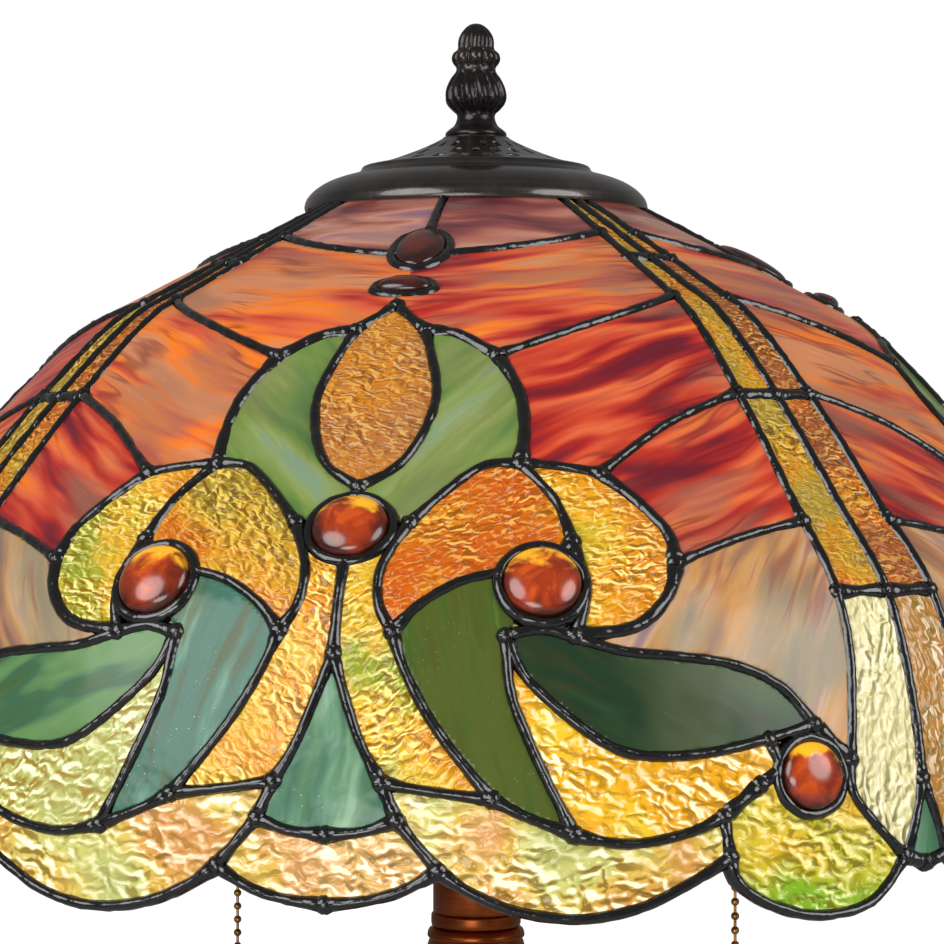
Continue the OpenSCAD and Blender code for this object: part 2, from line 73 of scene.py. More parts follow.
# %% Light the studio
def soft_lamp(name, place, aim, width, height, power):
    """A broad oval lamp at place that faces the point aim."""
    data = bpy.data.lights.new(name, "AREA")
    data.shape, data.size, data.size_y, data.energy = "ELLIPSE", width, height, power
    lamp = bpy.data.objects.new(name, data)
    lamp.location = place
    way = np.array(aim) - np.array(place)
    flat = np.hypot(way[0], way[1])
    lamp.rotation_euler = (np.arctan2(flat, -way[2]), 0, np.arctan2(way[1], way[0]) - np.pi / 2)
    bpy.context.scene.collection.objects.link(lamp)


room = bpy.data.worlds.new("white_room")
room.use_nodes = True
wall = room.node_tree.nodes["Background"]
wall.inputs["Color"].default_value = (1, 1, 1, 1)
seen = room.node_tree.nodes.new("ShaderNodeLightPath").outputs["Is Camera Ray"]
level = room.node_tree.nodes.new("ShaderNodeMapRange")
level.inputs["To Min"].default_value, level.inputs["To Max"].default_value = 0.2, 1.0
room.node_tree.links.new(seen, level.inputs["Value"])
room.node_tree.links.new(level.outputs[0], wall.inputs["Strength"])
bpy.context.scene.world = room
shade_middle = (0, 0, 0.43)
soft_lamp("left_window", (-1.0, -1.0, 1.05), shade_middle, 1.2, 1.2, 15)
soft_lamp("right_window", (1.2, -0.8, 0.95), shade_middle, 1.0, 1.1, 11)
soft_lamp("low_front", (-0.35, -1.6, 0.3), shade_middle, 0.9, 0.5, 6)
print("three soft lamps in a white room")

# %% [markdown]
# ## Making pieces from numbers
# Every new piece is a list of points and a list of the faces between them. The points come from a
# formula worked out for the whole grid at once. Millimetres are easier to think in at this scale,
# so shapes are worked out in millimetres and divided by a thousand on the way into the mesh.

# %% A bundle of points and faces
class Clay:
    """Points in millimetres, four-cornered and three-cornered faces, a flat map and marks."""

    def __init__(self, points, quads, tris=None, flat=None, **marks):
        self.points = np.asarray(points, float).reshape(-1, 3)
        self.quads = np.asarray(quads, np.int64).reshape(-1, 4)
        self.tris = np.asarray([] if tris is None else tris, np.int64).reshape(-1, 3)
        flat = np.zeros((len(self.points), 2)) if flat is None else flat
        self.flat = np.asarray(flat).reshape(-1, 2)
        self.marks = {k: np.broadcast_to(v, len(self.points)) for k, v in marks.items()}

    def face_out(self):
        """Turns the faces round if the volume inside them comes out negative."""
        corners = np.vstack([self.quads[:, [0, 1, 2]], self.quads[:, [0, 2, 3]], self.tris])
        a, b, c = (self.points[corners[:, k]] - self.points.mean(axis=0) for k in range(3))
        if np.einsum("ij,ij->", a, np.cross(b, c)) < 0:
            self.quads, self.tris = self.quads[:, ::-1], self.tris[:, ::-1]
        return self


def gathered(clays):
    """Several bundles as one."""
    starts = np.cumsum([0] + [len(c.points) for c in clays])
    return Clay(
        np.vstack([c.points for c in clays]),
        np.vstack([c.quads + s for c, s in zip(clays, starts)]),
        np.vstack([c.tris + s for c, s in zip(clays, starts)]),
        np.vstack([c.flat for c in clays]),
        **{k: np.concatenate([c.marks[k] for c in clays]) for k in clays[0].marks})


def numbered(rows, cols):
    """Point numbers of a grid whose last column meets its first."""
    number = np.arange(rows * cols).reshape(rows, cols)
    return np.hstack([number, number[:, :1]])


def grid_faces(number):
    """The four-cornered faces between neighbours in a grid of point numbers."""
    return np.stack([number[:-1, :-1], number[:-1, 1:], number[1:, 1:], number[1:, :-1]], -1)


def tube(rings, first, last):
    """Rings joined into a closed skin, with a fan of triangles to a point at each end."""
    count, around = rings.shape[:2]
    number = numbered(count, around)
    low = np.stack([number[0, 1:], number[0, :-1], np.full(around, count * around)], -1)
    high = np.stack([number[-1, :-1], number[-1, 1:], np.full(around, count * around + 1)], -1)
    points = np.vstack([rings.reshape(-1, 3), first, last])
    return Clay(points, grid_faces(number), np.vstack([low, high])).face_out()


def about_z(r, q, z):
    """Radii, angles and heights as points: x = r cos q, y = r sin q."""
    return np.stack(np.broadcast_arrays(r * np.cos(q), r * np.sin(q), z), -1)


def hoop(rings):
    """Rings joined one to the next, and the last to the first."""
    number = numbered(*rings.shape[:2])
    return Clay(rings, grid_faces(np.vstack([number, number[:1]]))).face_out()


# %% Put a bundle into the scene
def set_piece(name, clay, finish, body, stands_for):
    """Makes the mesh in metres with its finish, hands the piece to its body, and hides the parts it
    stands for.
    """
    mesh = bpy.data.meshes.new(name)
    corners = np.concatenate([clay.quads.ravel(), clay.tris.ravel()])
    starts = np.concatenate([np.arange(len(clay.quads)) * 4,
                             len(clay.quads) * 4 + np.arange(len(clay.tris)) * 3])
    mesh.vertices.add(len(clay.points))
    mesh.vertices.foreach_set("co", (clay.points / 1000).astype(np.float32).ravel())
    mesh.loops.add(len(corners))
    mesh.loops.foreach_set("vertex_index", corners.astype(np.int32))
    mesh.polygons.add(len(starts))
    mesh.polygons.foreach_set("loop_start", starts.astype(np.int32))
    mesh.polygons.foreach_set("use_smooth", np.ones(len(starts), bool))
    mesh.update(calc_edges=True)
    layer = mesh.uv_layers.new(name="flat")
    layer.data.foreach_set("uv", clay.flat[corners].astype(np.float32).ravel())
    for mark, values in clay.marks.items():
        marked = mesh.attributes.new(mark, "FLOAT", "POINT")
        marked.data.foreach_set("value", values.astype(np.float32))
    mesh.materials.append(finish)
    piece = bpy.data.objects.new(name, mesh)
    bpy.context.scene.collection.objects.link(piece)
    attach(piece, body)
    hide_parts(*stands_for)
    print(name, len(clay.quads) * 2 + len(clay.tris), "triangles")


# %% [markdown]
# A pane of glass and a pierced metal cap are the same kind of thing: two sheets with a wall round
# every edge. One way is to cut a mesh with another. Here we mark which cells of the grid stay, and
# build a wall wherever a kept cell has an empty neighbour, which is exact and quick.

# %% Close two sheets over the cells that stay
def two_sheets(front, back, keep, flat=None, closed_round=False, **marks):
    """front and back are grids of points, and keep says which cells between them stay.

    Each kept cell gives a front face and a back face. Where a cell is kept and the next is not,
    a wall joins the front edge to the back edge.
    """
    rows, cols = front.shape[:2]
    number = np.arange(rows * cols).reshape(rows, cols)
    if closed_round:
        number = np.hstack([number, number[:, :1]])
    a, b, c, d = number[:-1, :-1], number[:-1, 1:], number[1:, 1:], number[1:, :-1]
    under = rows * cols
    faces = [np.stack([a, b, c, d], -1)[keep], np.stack([d, c, b, a], -1)[keep] + under]
    lone = np.pad(keep, 1)
    if closed_round:
        lone[1:-1, 0], lone[1:-1, -1] = keep[:, -1], keep[:, 0]
    for edge, p, q in ((lone[:-2, 1:-1], a, b), (lone[1:-1, 2:], b, c),
                       (lone[2:, 1:-1], c, d), (lone[1:-1, :-2], d, a)):
        bare = keep & ~edge
        faces.append(np.stack([q[bare], p[bare], p[bare] + under, q[bare] + under], -1))
    quads = np.vstack(faces)
    used = np.zeros(2 * under, bool)
    used[quads.ravel()] = True
    place = np.cumsum(used) - 1
    points = np.vstack([front.reshape(-1, 3), back.reshape(-1, 3)])[used]
    both = {k: np.tile(np.broadcast_to(v, (rows, cols)).ravel(), 2)[used] for k, v in marks.items()}
    if flat is not None:
        flat = np.tile(flat.reshape(-1, 2), (2, 1))[used]
    return Clay(points, place[quads], None, flat, **both).face_out()


# %% [markdown]
# Natural unevenness needs a smooth random height over a plane. Each corner of a unit square gets a
# random direction, and the point between them blends what the four directions say. A fixed seed
# makes the same glass every time.

# %% Smooth randomness
def unevenness(x, y, seed):
    """Gradient noise: the dot product of each corner's direction with the way to the point, blended
    by 6t^5 - 15t^4 + 10t^3. It runs from about -0.7 to 0.7, with a wave about one unit long."""
    turns = np.random.default_rng(seed).uniform(0, 2 * np.pi, (64, 64))
    i, j = np.floor(x).astype(int), np.floor(y).astype(int)
    fx, fy = x - i, y - j

    def corner(di, dj):
        turn = turns[(i + di) % 64, (j + dj) % 64]
        return np.cos(turn) * (fx - di) + np.sin(turn) * (fy - dj)

    sx, sy = (t ** 3 * (t * (t * 6 - 15) + 10) for t in (fx, fy))
    near = corner(0, 0) * (1 - sx) + corner(1, 0) * sx
    far = corner(0, 1) * (1 - sx) + corner(1, 1) * sx
    return near * (1 - sy) + far * sy


def bend(points, steps=8):
    """A smooth line through given points: the Catmull-Rom cubic, which keeps both ends."""
    p = np.asarray(points, float)
    a, b = np.vstack([p[:1], p[:-2]]), p[:-1]
    c, d = p[1:], np.vstack([p[2:], p[-1:]])
    t = np.linspace(0, 1, steps, endpoint=False)[None, :, None]
    a, b, c, d = (q[:, None, :] for q in (a, b, c, d))
    curve = 0.5 * (2 * b + (c - a) * t + (2 * a - 5 * b + 4 * c - d) * t ** 2
                   + (3 * b - a - 3 * c + d) * t ** 3)
    return np.vstack([curve.reshape(-1, p.shape[1]), p[-1:]])


# %% [markdown]
# ## The surface of the shade
# The shade is a body of revolution, so one curve of radius against height says it all. Everything
# on it, from a pane to a bead of solder, is placed by an angle, a height and a distance off the
# surface. Shaping each pane alone and fitting them together afterwards would leave gaps.

# %% The curve of the shade
shade_level = 448
panel_turn = -10.5
dome = bend([[46, 80.8], [101.6, 51.4], [122, 39.5], [147.5, 14], [169, -11], [186.5, -31.5],
             [196, -55], [202, -86], [203.5, -118]], 24)
dome_run = np.concatenate([[0], np.cumsum(np.hypot(*np.diff(dome, axis=0).T))])
dome_way = np.gradient(dome, axis=0)
dome_out = np.stack([-dome_way[:, 1], dome_way[:, 0]], -1)
dome_out /= np.hypot(*dome_out.T)[:, None]


def along_dome(values, height):
    """Reads a column of numbers kept beside the curve at the given heights."""
    return np.interp(-np.asarray(height, float), -dome[:, 1], values)


def on_shade(panel, angle, height, proud=0.0):
    """x = r sin A, y = -r cos A and z = h, each moved proud millimetres along the outward way."""
    turn = np.radians(np.asarray(angle, float) + panel_turn + 90 * panel)
    out_r, out_z = along_dome(dome_out[:, 0], height), along_dome(dome_out[:, 1], height)
    r = along_dome(dome[:, 0], height) + proud * out_r
    z = np.asarray(height, float) + proud * out_z + shade_level
    return np.stack(np.broadcast_arrays(r * np.sin(turn), -r * np.cos(turn), z), -1)


def out_of_shade(panel, angle, height):
    """The outward unit vector at an angle and height."""
    return on_shade(panel, angle, height, 1.0) - on_shade(panel, angle, height, 0.0)


print("the slant is", round(float(dome_run[-1]), 1), "mm long")

# %% [markdown]
# ## The pattern
# The pattern repeats four times round the shade, and each quarter is the same left and right. So
# only half of one quarter is drawn: each line is a few [angle, height] points, in degrees from the
# middle of the quarter and millimetres. A glazier would call this drawing the cartoon.

# %% Draw the lines of half a quarter
top_level, foot_level = 79.5, -33.4
bar_levels = (58.4, 18.2, foot_level)
line = {name: bend(points) for name, points in {
    "vesica_top": [[0, 42.5], [4.4, 35.5]],
    "vesica_low": [[4.4, 35.5], [6.3, 20], [5.6, 9], [3.4, -1], [0, -6.5]],
    "lobe_top": [[4.4, 35.5], [8.5, 34], [12.9, 28.5]],
    "lobe_side": [[12.9, 28.5], [15, 19], [15.3, 9.5], [14.6, -0.5]],
    "curl_top": [[14.6, -0.5], [11.2, -1.2], [8, -7.3], [4.9, -15.5]],
    "curl_inner": [[4.9, -15.5], [3.1, -26], [3.1, -35], [4.3, -42]],
    "curl_low": [[4.3, -42], [6.2, -35.5], [9.2, -30], [12.6, -27.5], [15.6, -26], [18.4, -20]],
    "divider": [[14.6, -0.5], [17.4, -10], [18.4, -20]],
    "crescent_inner": [[18.4, -20], [19, -30], [18.6, -37], [17.8, -43]],
    "crescent_top": [[14.6, -0.5], [18, -1.3], [21.8, -3]],
    "crescent_outer": [[21.8, -3], [24.6, -10], [26.6, -18], [26.6, -25.5]],
    "crescent_tip": [[26.6, -25.5], [25.2, -34], [22.4, -41], [17.8, -43]],
    "leaf_root": [[12.7, -43], [15, -41.5], [17.8, -43]],
    "leaf_top": [[17.8, -43], [21, -46.7], [25.2, -48.3], [29.4, -50.4], [33.2, -56], [35.8, -66]],
    "leaf_low": [[12.7, -43], [14.2, -53.5], [18.3, -66], [21.5, -71.7], [26, -72.3],
                 [30.5, -70], [35.8, -66]],
    "blade_side": [[12.7, -43], [12.9, -55], [13.7, -64], [15.2, -76], [17.3, -91]],
    "vee_outer": [[4.3, -42], [5.4, -52], [7.4, -64], [9.6, -74], [11.6, -82.3]],
    "triangle_side": [[0, -47.5], [2.2, -68], [3.9, -78.5]],
    "triangle_low": [[3.9, -78.5], [5, -87.5]],
    "triangle_base": [[5, -87.5], [2.6, -90.3], [0, -91.2]],
    "vee_base": [[3.9, -78.5], [7.5, -80.5], [11.6, -82.3]],
    "scallop_near": [[11.6, -82.3], [14, -86.5], [17.3, -91]],
    "scallop_far": [[17.3, -91], [21, -93.4], [25, -91.5], [28.1, -87.5]],
    "gold_low": [[28.1, -87.5], [31, -80]],
    "gold_end": [[31, -80], [32.5, -76], [32, -69.3]],
    "scallop_side": [[5, -87.5], [7.9, -99.5]],
    "rim_lobe_side": [[28.1, -87.5], [28.5, -97.5]],
    "rim_centre": [[7.9, -99.5], [5.3, -104.5], [2.7, -107], [0, -108]],
    "rim_scallop": [[7.9, -99.5], [10.3, -105], [13.6, -109.5], [17.8, -111.3], [21.8, -109],
                    [25.4, -103.5], [28.5, -97.5]],
    "rim_lobe": [[28.5, -97.5], [29, -103.5], [31.5, -109.5], [35.5, -113], [39.8, -110.5],
                 [42.9, -100]],
    "strip_high": [[40, top_level], [40, 66.5], [40, 46.3], [40, 18.8], [40, -15.5]],
    "strip_low": [[40, -15.5], [39.9, -45], [39.2, -62], [38.6, -75]],
    "strip_tail": [[38.6, -75], [38.5, -83], [40.5, -92], [42.9, -100]],
    "leaf_tie": [[35.8, -66], [38.6, -75]],
    "row_1": [[0, 58], [11, 59.5], [25, 62.5], [40, 66.5]],
    "row_2": [[12.9, 28.5], [26, 38], [40, 46.3]],
    "row_3": [[21.8, -3], [30, 10], [40, 18.8]],
    "row_4": [[26.6, -25.5], [33, -19.5], [40, -15.5]],
    **{f"strip_bar_{k}": [[40, z], [45, z]] for k, z in enumerate(bar_levels, 1)},
    "corner_side": [[45, -81], [43.1, -100]],
    "corner_rim": [[42.9, -100], [45, -102]],
}.items()}
middle_line = {"crown": bend([[0, top_level], [0, 65.5]]), "stem": bend([[0, -24.5], [0, -47.5]]),
               "strip_middle": bend([[45, z] for z in (top_level, *bar_levels, -81)]),
               "collar": bend([[a, top_level] for a in range(-45, 46, 5)])}
print(len(line), "lines in each half,", len(middle_line), "in the middle")


# %% Join lines into the outlines of panes
def outline(*parts):
    """Strings lines into one closed outline. A name ending in < is walked backwards."""
    runs = []
    for part in parts:
        if isinstance(part, str):
            runs.append(line[part.rstrip("<")][::-1] if part.endswith("<") else line[part])
        else:
            runs.append(np.array([part], float))
    return np.vstack(runs)


def mirrored(p):
    """The same outline on the other side of the quarter's middle."""
    return np.stack([-p[:, 0], p[:, 1]], -1)


def whole(*parts):
    """A pane that crosses the middle of the quarter, from the parts of its right half."""
    half = outline(*parts)
    return np.vstack([half, mirrored(half)[::-1]])


whole_vesica = whole("vesica_top", "vesica_low")
whole_triangle = whole("triangle_side", "triangle_low", "triangle_base")
whole_scallop = whole("triangle_base<", "scallop_side", "rim_centre")
foot_run = line["strip_low"][line["strip_low"][:, 1] < foot_level]
leaf_run = line["leaf_low"][line["leaf_low"][:, 0] < 31.8]
strip_levels = [top_level, *bar_levels]
strips = [np.array([[40, a], [45, a], [45, b], [40, b]], float)
          for a, b in zip(strip_levels[:-1], strip_levels[1:])]
print("the middle panes are ready")

# %% [markdown]
# The jewels sit where lines meet: five round ones in each quarter, and an oval and a half-round
# above them. Each is given by its place and the two half-widths of its outline, so that one
# function makes them all.

# %% Place the jewels
jewels = {
    "centre": [(0, -17, 9.8, 9.8, 9.8)],
    "side": [(15.6, -30.5, 9.8, 9.8, 9.8), (-15.6, -30.5, 9.8, 9.8, 9.8)],
    "rim": [(35.1, -78.5, 8.4, 8.4, 8.4), (-35.1, -78.5, 8.4, 8.4, 8.4)],
    "top": [(0, 59.8, 6.9, 11.6, 11.6), (0, 47.4, 7.4, 5.8, 3.0)],
}
all_jewels = [j for group in jewels.values() for j in group]
print(len(all_jewels), "jewels in each quarter")


def jewel_gap(angle, height, jewel):
    """How far a point lies from a jewel's middle, as a share of the jewel's own outline there."""
    middle_r = along_dome(dome[:, 0], jewel[1])
    across = np.radians(angle - jewel[0]) * middle_r
    up = -(along_dome(dome_run, height) - along_dome(dome_run, jewel[1]))
    return np.hypot(across / jewel[2], up / np.where(up > 0, jewel[3], jewel[4]))


# %% [markdown]
# ## Cutting the glass
# A pane is a patch of the dome inside its outline. The patch is a grid of equal steps across and
# down the slant, and a cell stays if its middle and four points about it lie inside the outline,
# so every pane ends a little short of its neighbour, under the solder. The edges are hidden there,
# so cells are enough, and the grid stays even, which smooth glass needs for a clean reflection.

# %% Test which points are inside an outline
def inside(angle, height, edge):
    """Counts how often a line going right from each point crosses the outline: odd is inside."""
    x0, y0 = edge.T
    x1, y1 = np.roll(edge, -1, axis=0).T
    y = height[..., None]
    crosses = (y0 > y) != (y1 > y)
    rise = np.where(y1 == y0, 1e-9, y1 - y0)
    return (crosses & (angle[..., None] < (x1 - x0) * (y - y0) / rise + x0)).sum(-1) % 2 == 1


# %% Cut one pane
glass_t = 2.6
inset_across, inset_up = 0.45, 0.4


def pane(panel, edge, step, streak, seed, tint, swell=0.2, wave=21, cut_by=()):
    """A patch of the dome, glass_t thick, whose front swells by gradient noise wave mm long.

    The flat map is the pane laid out in units of 100 mm, turned to its streaks and moved at random.
    tint picks the pane's hue from 0 to 1, give or take a little luck.
    """
    luck = np.random.default_rng(seed)
    run_at = along_dome(dome_run, edge[:, 1])
    middle_r = along_dome(dome[:, 0], (edge[:, 1].min() + edge[:, 1].max()) / 2)
    wide = np.radians(np.ptp(edge[:, 0])) * middle_r
    cols, rows = int(wide / step) + 2, int(np.ptp(run_at) / step) + 2
    angle = np.linspace(edge[:, 0].min(), edge[:, 0].max(), cols)[None, :]
    run = np.linspace(run_at.min(), run_at.max(), rows)[:, None]
    height = np.interp(run, dome_run, dome[:, 1])
    angle, height, run = np.broadcast_arrays(angle, height, run)
    mid_a = (angle[:-1, :-1] + angle[1:, 1:]) / 2
    mid_h = (height[:-1, :-1] + height[1:, 1:]) / 2
    da, dh = np.degrees(inset_across / along_dome(dome[:, 0], mid_h)), inset_up
    keep = inside(mid_a, mid_h, edge)
    for ka, kh in ((1, 0), (-1, 0), (0, 1), (0, -1)):
        keep &= inside(mid_a + ka * da, mid_h + kh * dh, edge)
    for j in cut_by:
        keep &= jewel_gap(mid_a, mid_h, j) > 0.98
    x = np.radians(angle) * along_dome(dome[:, 0], height)
    y = -run
    front = on_shade(panel, angle, height, swell * unevenness(x / wave, y / wave, seed + 5))
    back = on_shade(panel, angle, height, -glass_t)
    t = np.radians(streak)
    flat = np.stack([x * np.cos(t) + y * np.sin(t), y * np.cos(t) - x * np.sin(t)], -1) / 100
    flat = flat + luck.uniform(-20, 20, 2)
    return two_sheets(front, back, keep, flat, tint=tint + luck.uniform(-0.15, 0.15))


# %% [markdown]
# ## Finishes
# A finish is a small net of nodes. Writing the same five calls for each node hides what a finish
# does, so a short helper keeps the net and names each step: a pattern, a set of colours to spread
# over it, a blend, a bump.

# %% A helper for nets of nodes
def shade_of(code):
    """A colour written as six hexadecimal digits, made linear for the renderer."""
    c = np.array([int(code[i:i + 2], 16) for i in (0, 2, 4)]) / 255
    linear = np.where(c <= 0.04045, c / 12.92, ((c + 0.055) / 1.055) ** 2.4)
    return (*[float(v) for v in linear], 1.0)


class Finish:
    """A material being mixed. Each call adds a node and returns the socket with its answer."""

    def __init__(self, name, rough=0.4, metal=0.0, coat=0.0, glow=0.0, **sockets):
        self.material = bpy.data.materials.new(name)
        self.material.use_nodes = True
        self.net = self.material.node_tree
        self.skin = self.net.nodes["Principled BSDF"]
        for socket, value in {"Roughness": rough, "Metallic": metal, "Coat Weight": coat,
                              "Emission Strength": glow, **sockets}.items():
            self.skin.inputs[socket].default_value = value

    def node(self, kind, wires=(), **settings):
        new = self.net.nodes.new(kind)
        for key, value in settings.items():
            setattr(new, key, value)
        for socket, value in dict(wires).items():
            if isinstance(value, bpy.types.NodeSocket):
                self.net.links.new(value, new.inputs[socket])
            else:
                new.inputs[socket].default_value = value
        return new

    def object_place(self):
        return self.node("ShaderNodeTexCoord").outputs["Object"]

    def flat_place(self):
        return self.node("ShaderNodeUVMap", uv_map="flat").outputs["UV"]

    def mark(self, name):
        return self.node("ShaderNodeAttribute", attribute_name=name).outputs["Fac"]

    def tinted(self, value, pull):
        """The value moved by the mark called tint: pull / 2 down where it is 0, and up where 1."""
        return self.sum("MULTIPLY_ADD", self.mark("tint"), pull,
                        self.sum("SUBTRACT", value, pull / 2))

    def stretched(self, place, scale):
        wires = {"Vector": place, "Scale": scale}
        return self.node("ShaderNodeMapping", wires).outputs["Vector"]

    def cloud(self, place, scale, detail=3.0, rough=0.5, twist=0.0):
        wires = {"Vector": place, "Scale": scale, "Detail": detail, "Roughness": rough,
                 "Distortion": twist}
        return self.node("ShaderNodeTexNoise", wires).outputs["Fac"]

    def cells(self, place, scale):
        wires = {"Vector": place, "Scale": scale}
        return self.node("ShaderNodeTexVoronoi", wires).outputs["Distance"]

    def drifted(self, place, scale, amount):
        """The place moved about by a colour cloud, which bends a straight pattern into a swirl."""
        wires = {"Vector": place, "Scale": scale, "Detail": 2.0}
        push = self.node("ShaderNodeTexNoise", wires).outputs["Color"]
        centred = self.node("ShaderNodeVectorMath", {0: push, 1: (0.5, 0.5, 0.5)},
                            operation="SUBTRACT").outputs[0]
        grown = self.node("ShaderNodeVectorMath", {0: centred, "Scale": amount},
                          operation="SCALE").outputs[0]
        return self.node("ShaderNodeVectorMath", {0: place, 1: grown}).outputs[0]

    def sum(self, how, a, b, c=0.0):
        return self.node("ShaderNodeMath", {0: a, 1: b, 2: c}, operation=how).outputs[0]

    def span(self, value, low, high, out_low=0.0, out_high=1.0):
        wires = {"Value": value, "From Min": low, "From Max": high, "To Min": out_low,
                 "To Max": out_high}
        return self.node("ShaderNodeMapRange", wires, interpolation_type="SMOOTHSTEP").outputs[0]

    def spread(self, value, *stops):
        """Colours spread over a value from 0 to 1, each stop a pair of place and colour."""
        ramp = self.node("ShaderNodeValToRGB", {"Fac": value})
        while len(ramp.color_ramp.elements) < len(stops):
            ramp.color_ramp.elements.new(0.5)
        for element, (place, code) in zip(ramp.color_ramp.elements, stops):
            element.position, element.color = place, shade_of(code)
        return ramp.outputs["Color"]

    def blend(self, amount, a, b, how="MIX"):
        a, b = (shade_of(v) if isinstance(v, str) else v for v in (a, b))
        wires = {0: amount, 6: a, 7: b}
        return self.node("ShaderNodeMix", wires, data_type="RGBA", blend_type=how).outputs[2]

    def bump(self, height, depth, strength=1.0, under=None):
        wires = {"Height": height, "Distance": depth, "Strength": strength}
        if under is not None:
            wires["Normal"] = under
        return self.node("ShaderNodeBump", wires).outputs["Normal"]

    def finish(self, colour, normal=None, rough=None, glow=None):
        self.net.links.new(colour, self.skin.inputs["Base Color"])
        if normal is not None:
            self.net.links.new(normal, self.skin.inputs["Normal"])
        if rough is not None:
            self.net.links.new(rough, self.skin.inputs["Roughness"])
        if glow is not None:
            self.net.links.new(glow, self.skin.inputs["Emission Color"])
        return self.material


# %% [markdown]
# Opalescent sheet glass is stirred from several colours, so it has long streaks that drift and
# fold, cloudy patches between them and fine dark wisps. The streaks follow the flat map of each
# pane. It lets some light through from behind, which a weak glow of its own colour stands for:
# real translucency would need many more samples for the same look.

# %% Streaky glass
def streaky_glass(name, stops, haze, wisp, glow=0.22, pull=4.5, haze_share=0.6, wisp_share=0.5,
                  hue_pull=0.2):
    """Colours over a stretched and drifted cloud, patches of haze, and thin wisps."""
    f = Finish(name, rough=0.22, glow=glow, IOR=1.38)
    place = f.drifted(f.flat_place(), 2.0, 0.16)
    drawn = f.stretched(place, (1.0, pull, 1.0))
    main = f.cloud(drawn, 1.9, 2.5, 0.5, 0.3)
    main = f.tinted(main, hue_pull)
    colour = f.spread(f.span(main, 0.28, 0.72), *stops)
    patches = f.cloud(f.stretched(place, (1.0, pull * 0.5, 1.0)), 1.9, 2.0, 0.45)
    colour = f.blend(f.span(patches, 0.48, 0.66, 0, haze_share), colour, haze)
    fine = f.cloud(f.stretched(place, (1.0, pull * 1.5, 1.0)), 2.6, 1.5, 0.4, 0.3)
    thread = f.span(f.sum("ABSOLUTE", f.sum("SUBTRACT", fine, 0.5), 0.0), 0.07, 0.0)
    where = f.span(f.cloud(place, 3.0, 1.0), 0.45, 0.62)
    colour = f.blend(f.sum("MULTIPLY", thread, f.sum("MULTIPLY", where, wisp_share)), colour, wisp)
    pale = f.cloud(f.stretched(place, (1.0, pull * 1.8, 1.0)), 7.0, 3.0, 0.55)
    colour = f.blend(f.span(pale, 0.5, 0.78, 0.0, 0.35), colour, "FFE6CC", "SOFT_LIGHT")
    normal = f.bump(f.cloud(f.flat_place(), 7.0, 1.0), 0.0012, 0.35)
    return f.finish(colour, normal, f.span(patches, 0.3, 0.8, 0.18, 0.3), colour)


sunset = streaky_glass("sunset_glass", [(0.0, "641A26"), (0.2, "A42620"), (0.4, "C0442A"),
                                        (0.6, "D0603A"), (0.82, "EA7616"), (1.0, "CC8256")],
                       "946650", "6C1020", 0.24, 5.2, 0.6, 0.6, 0.32)
dusk = streaky_glass("dusk_glass", [(0.0, "5A2C34"), (0.3, "864440"), (0.55, "AC6A58"),
                                    (0.8, "C08874"), (1.0, "8C6074")],
                     "A8806C", "4A2238", 0.2, 3.6, 0.6, 0.4)
smoke = streaky_glass("smoke_glass", [(0.0, "6C5050"), (0.25, "9A7256"), (0.5, "BC8A52"),
                                      (0.75, "BE9874"), (1.0, "8A7074")],
                      "868068", "8C3838", 0.24, 4.6, 0.8, 0.45)
moss = streaky_glass("moss_glass", [(0.0, "44643C"), (0.3, "607E3E"), (0.55, "748844"),
                                    (0.8, "82945A"), (1.0, "76907A")],
                     "828256", "62582E", 0.18, 4.0, 0.5, 0.3, 0.3)
leaf_green = streaky_glass("leaf_green_glass", [(0.0, "1E3622"), (0.35, "304C2A"), (0.6, "445E32"),
                                                (0.85, "3C6448"), (1.0, "628854")],
                           "4A5634", "3A361A", 0.16, 3.6, 0.6, 0.4, 0.5)
print("streaky glass:", sunset.name, dusk.name, smoke.name, moss.name, leaf_green.name)


# %% [markdown]
# Seedy glass has small bubbles trapped in it. They show as tiny round marks with a bright spot,
# gathered along a few lines. Cells with a random middle give round marks of that kind.

# %% Seedy glass
def seedy_glass(name, stops, drawn_in, glow=0.22, hue_pull=0.2):
    """Colours over a stretched cloud, a second colour drawn in, bubbles gathered in places, each
    painted pale as a glint, and a painted glow.
    """
    f = Finish(name, rough=0.2, glow=glow, IOR=1.38)
    place = f.drifted(f.flat_place(), 2.6, 0.14)
    main = f.cloud(f.stretched(place, (1.0, 4.6, 1.0)), 2.6, 3.0, 0.5)
    main = f.tinted(main, hue_pull)
    colour = f.spread(f.span(main, 0.3, 0.7), *stops)
    fine = f.cloud(f.stretched(place, (1.0, 7.0, 1.0)), 3.2, 3.0, 0.55, 0.3)
    colour = f.blend(f.span(fine, 0.48, 0.68, 0, 0.7), colour, drawn_in)
    seeds = f.cells(f.flat_place(), 60.0)
    where = f.span(f.cloud(f.flat_place(), 5.0, 2.0), 0.46, 0.6)
    few = f.span(f.mark("tint"), 0.8, 0.4, 0.1, 1.0)
    dot = f.sum("MULTIPLY", f.span(seeds, 0.2, 0.08), f.sum("MULTIPLY", where, few))
    # Painted glint: each bubble is a pale dot.
    colour = f.blend(f.sum("MULTIPLY", dot, 0.55), colour, "DCEBE0")
    normal = f.bump(dot, 0.0004, 0.7, f.bump(f.cloud(f.flat_place(), 12.0, 2.0), 0.001, 0.4))
    return f.finish(colour, normal, None, colour)


lagoon = seedy_glass("lagoon_glass", [(0.0, "38604C"), (0.35, "527C60"), (0.65, "6C9474"),
                                      (1.0, "8CAC8C")], "4C7450")
fern = seedy_glass("fern_glass", [(0.0, "3E6C5C"), (0.22, "64907A"), (0.4, "4E7A4E"), (0.58, "3E6424"),
                                  (0.7, "54702E"), (0.82, "3C5A22"), (1.0, "4E5A22")], "4A4E1E", 0.2,
                   0.5)
print("seedy glass:", lagoon.name, fern.name)
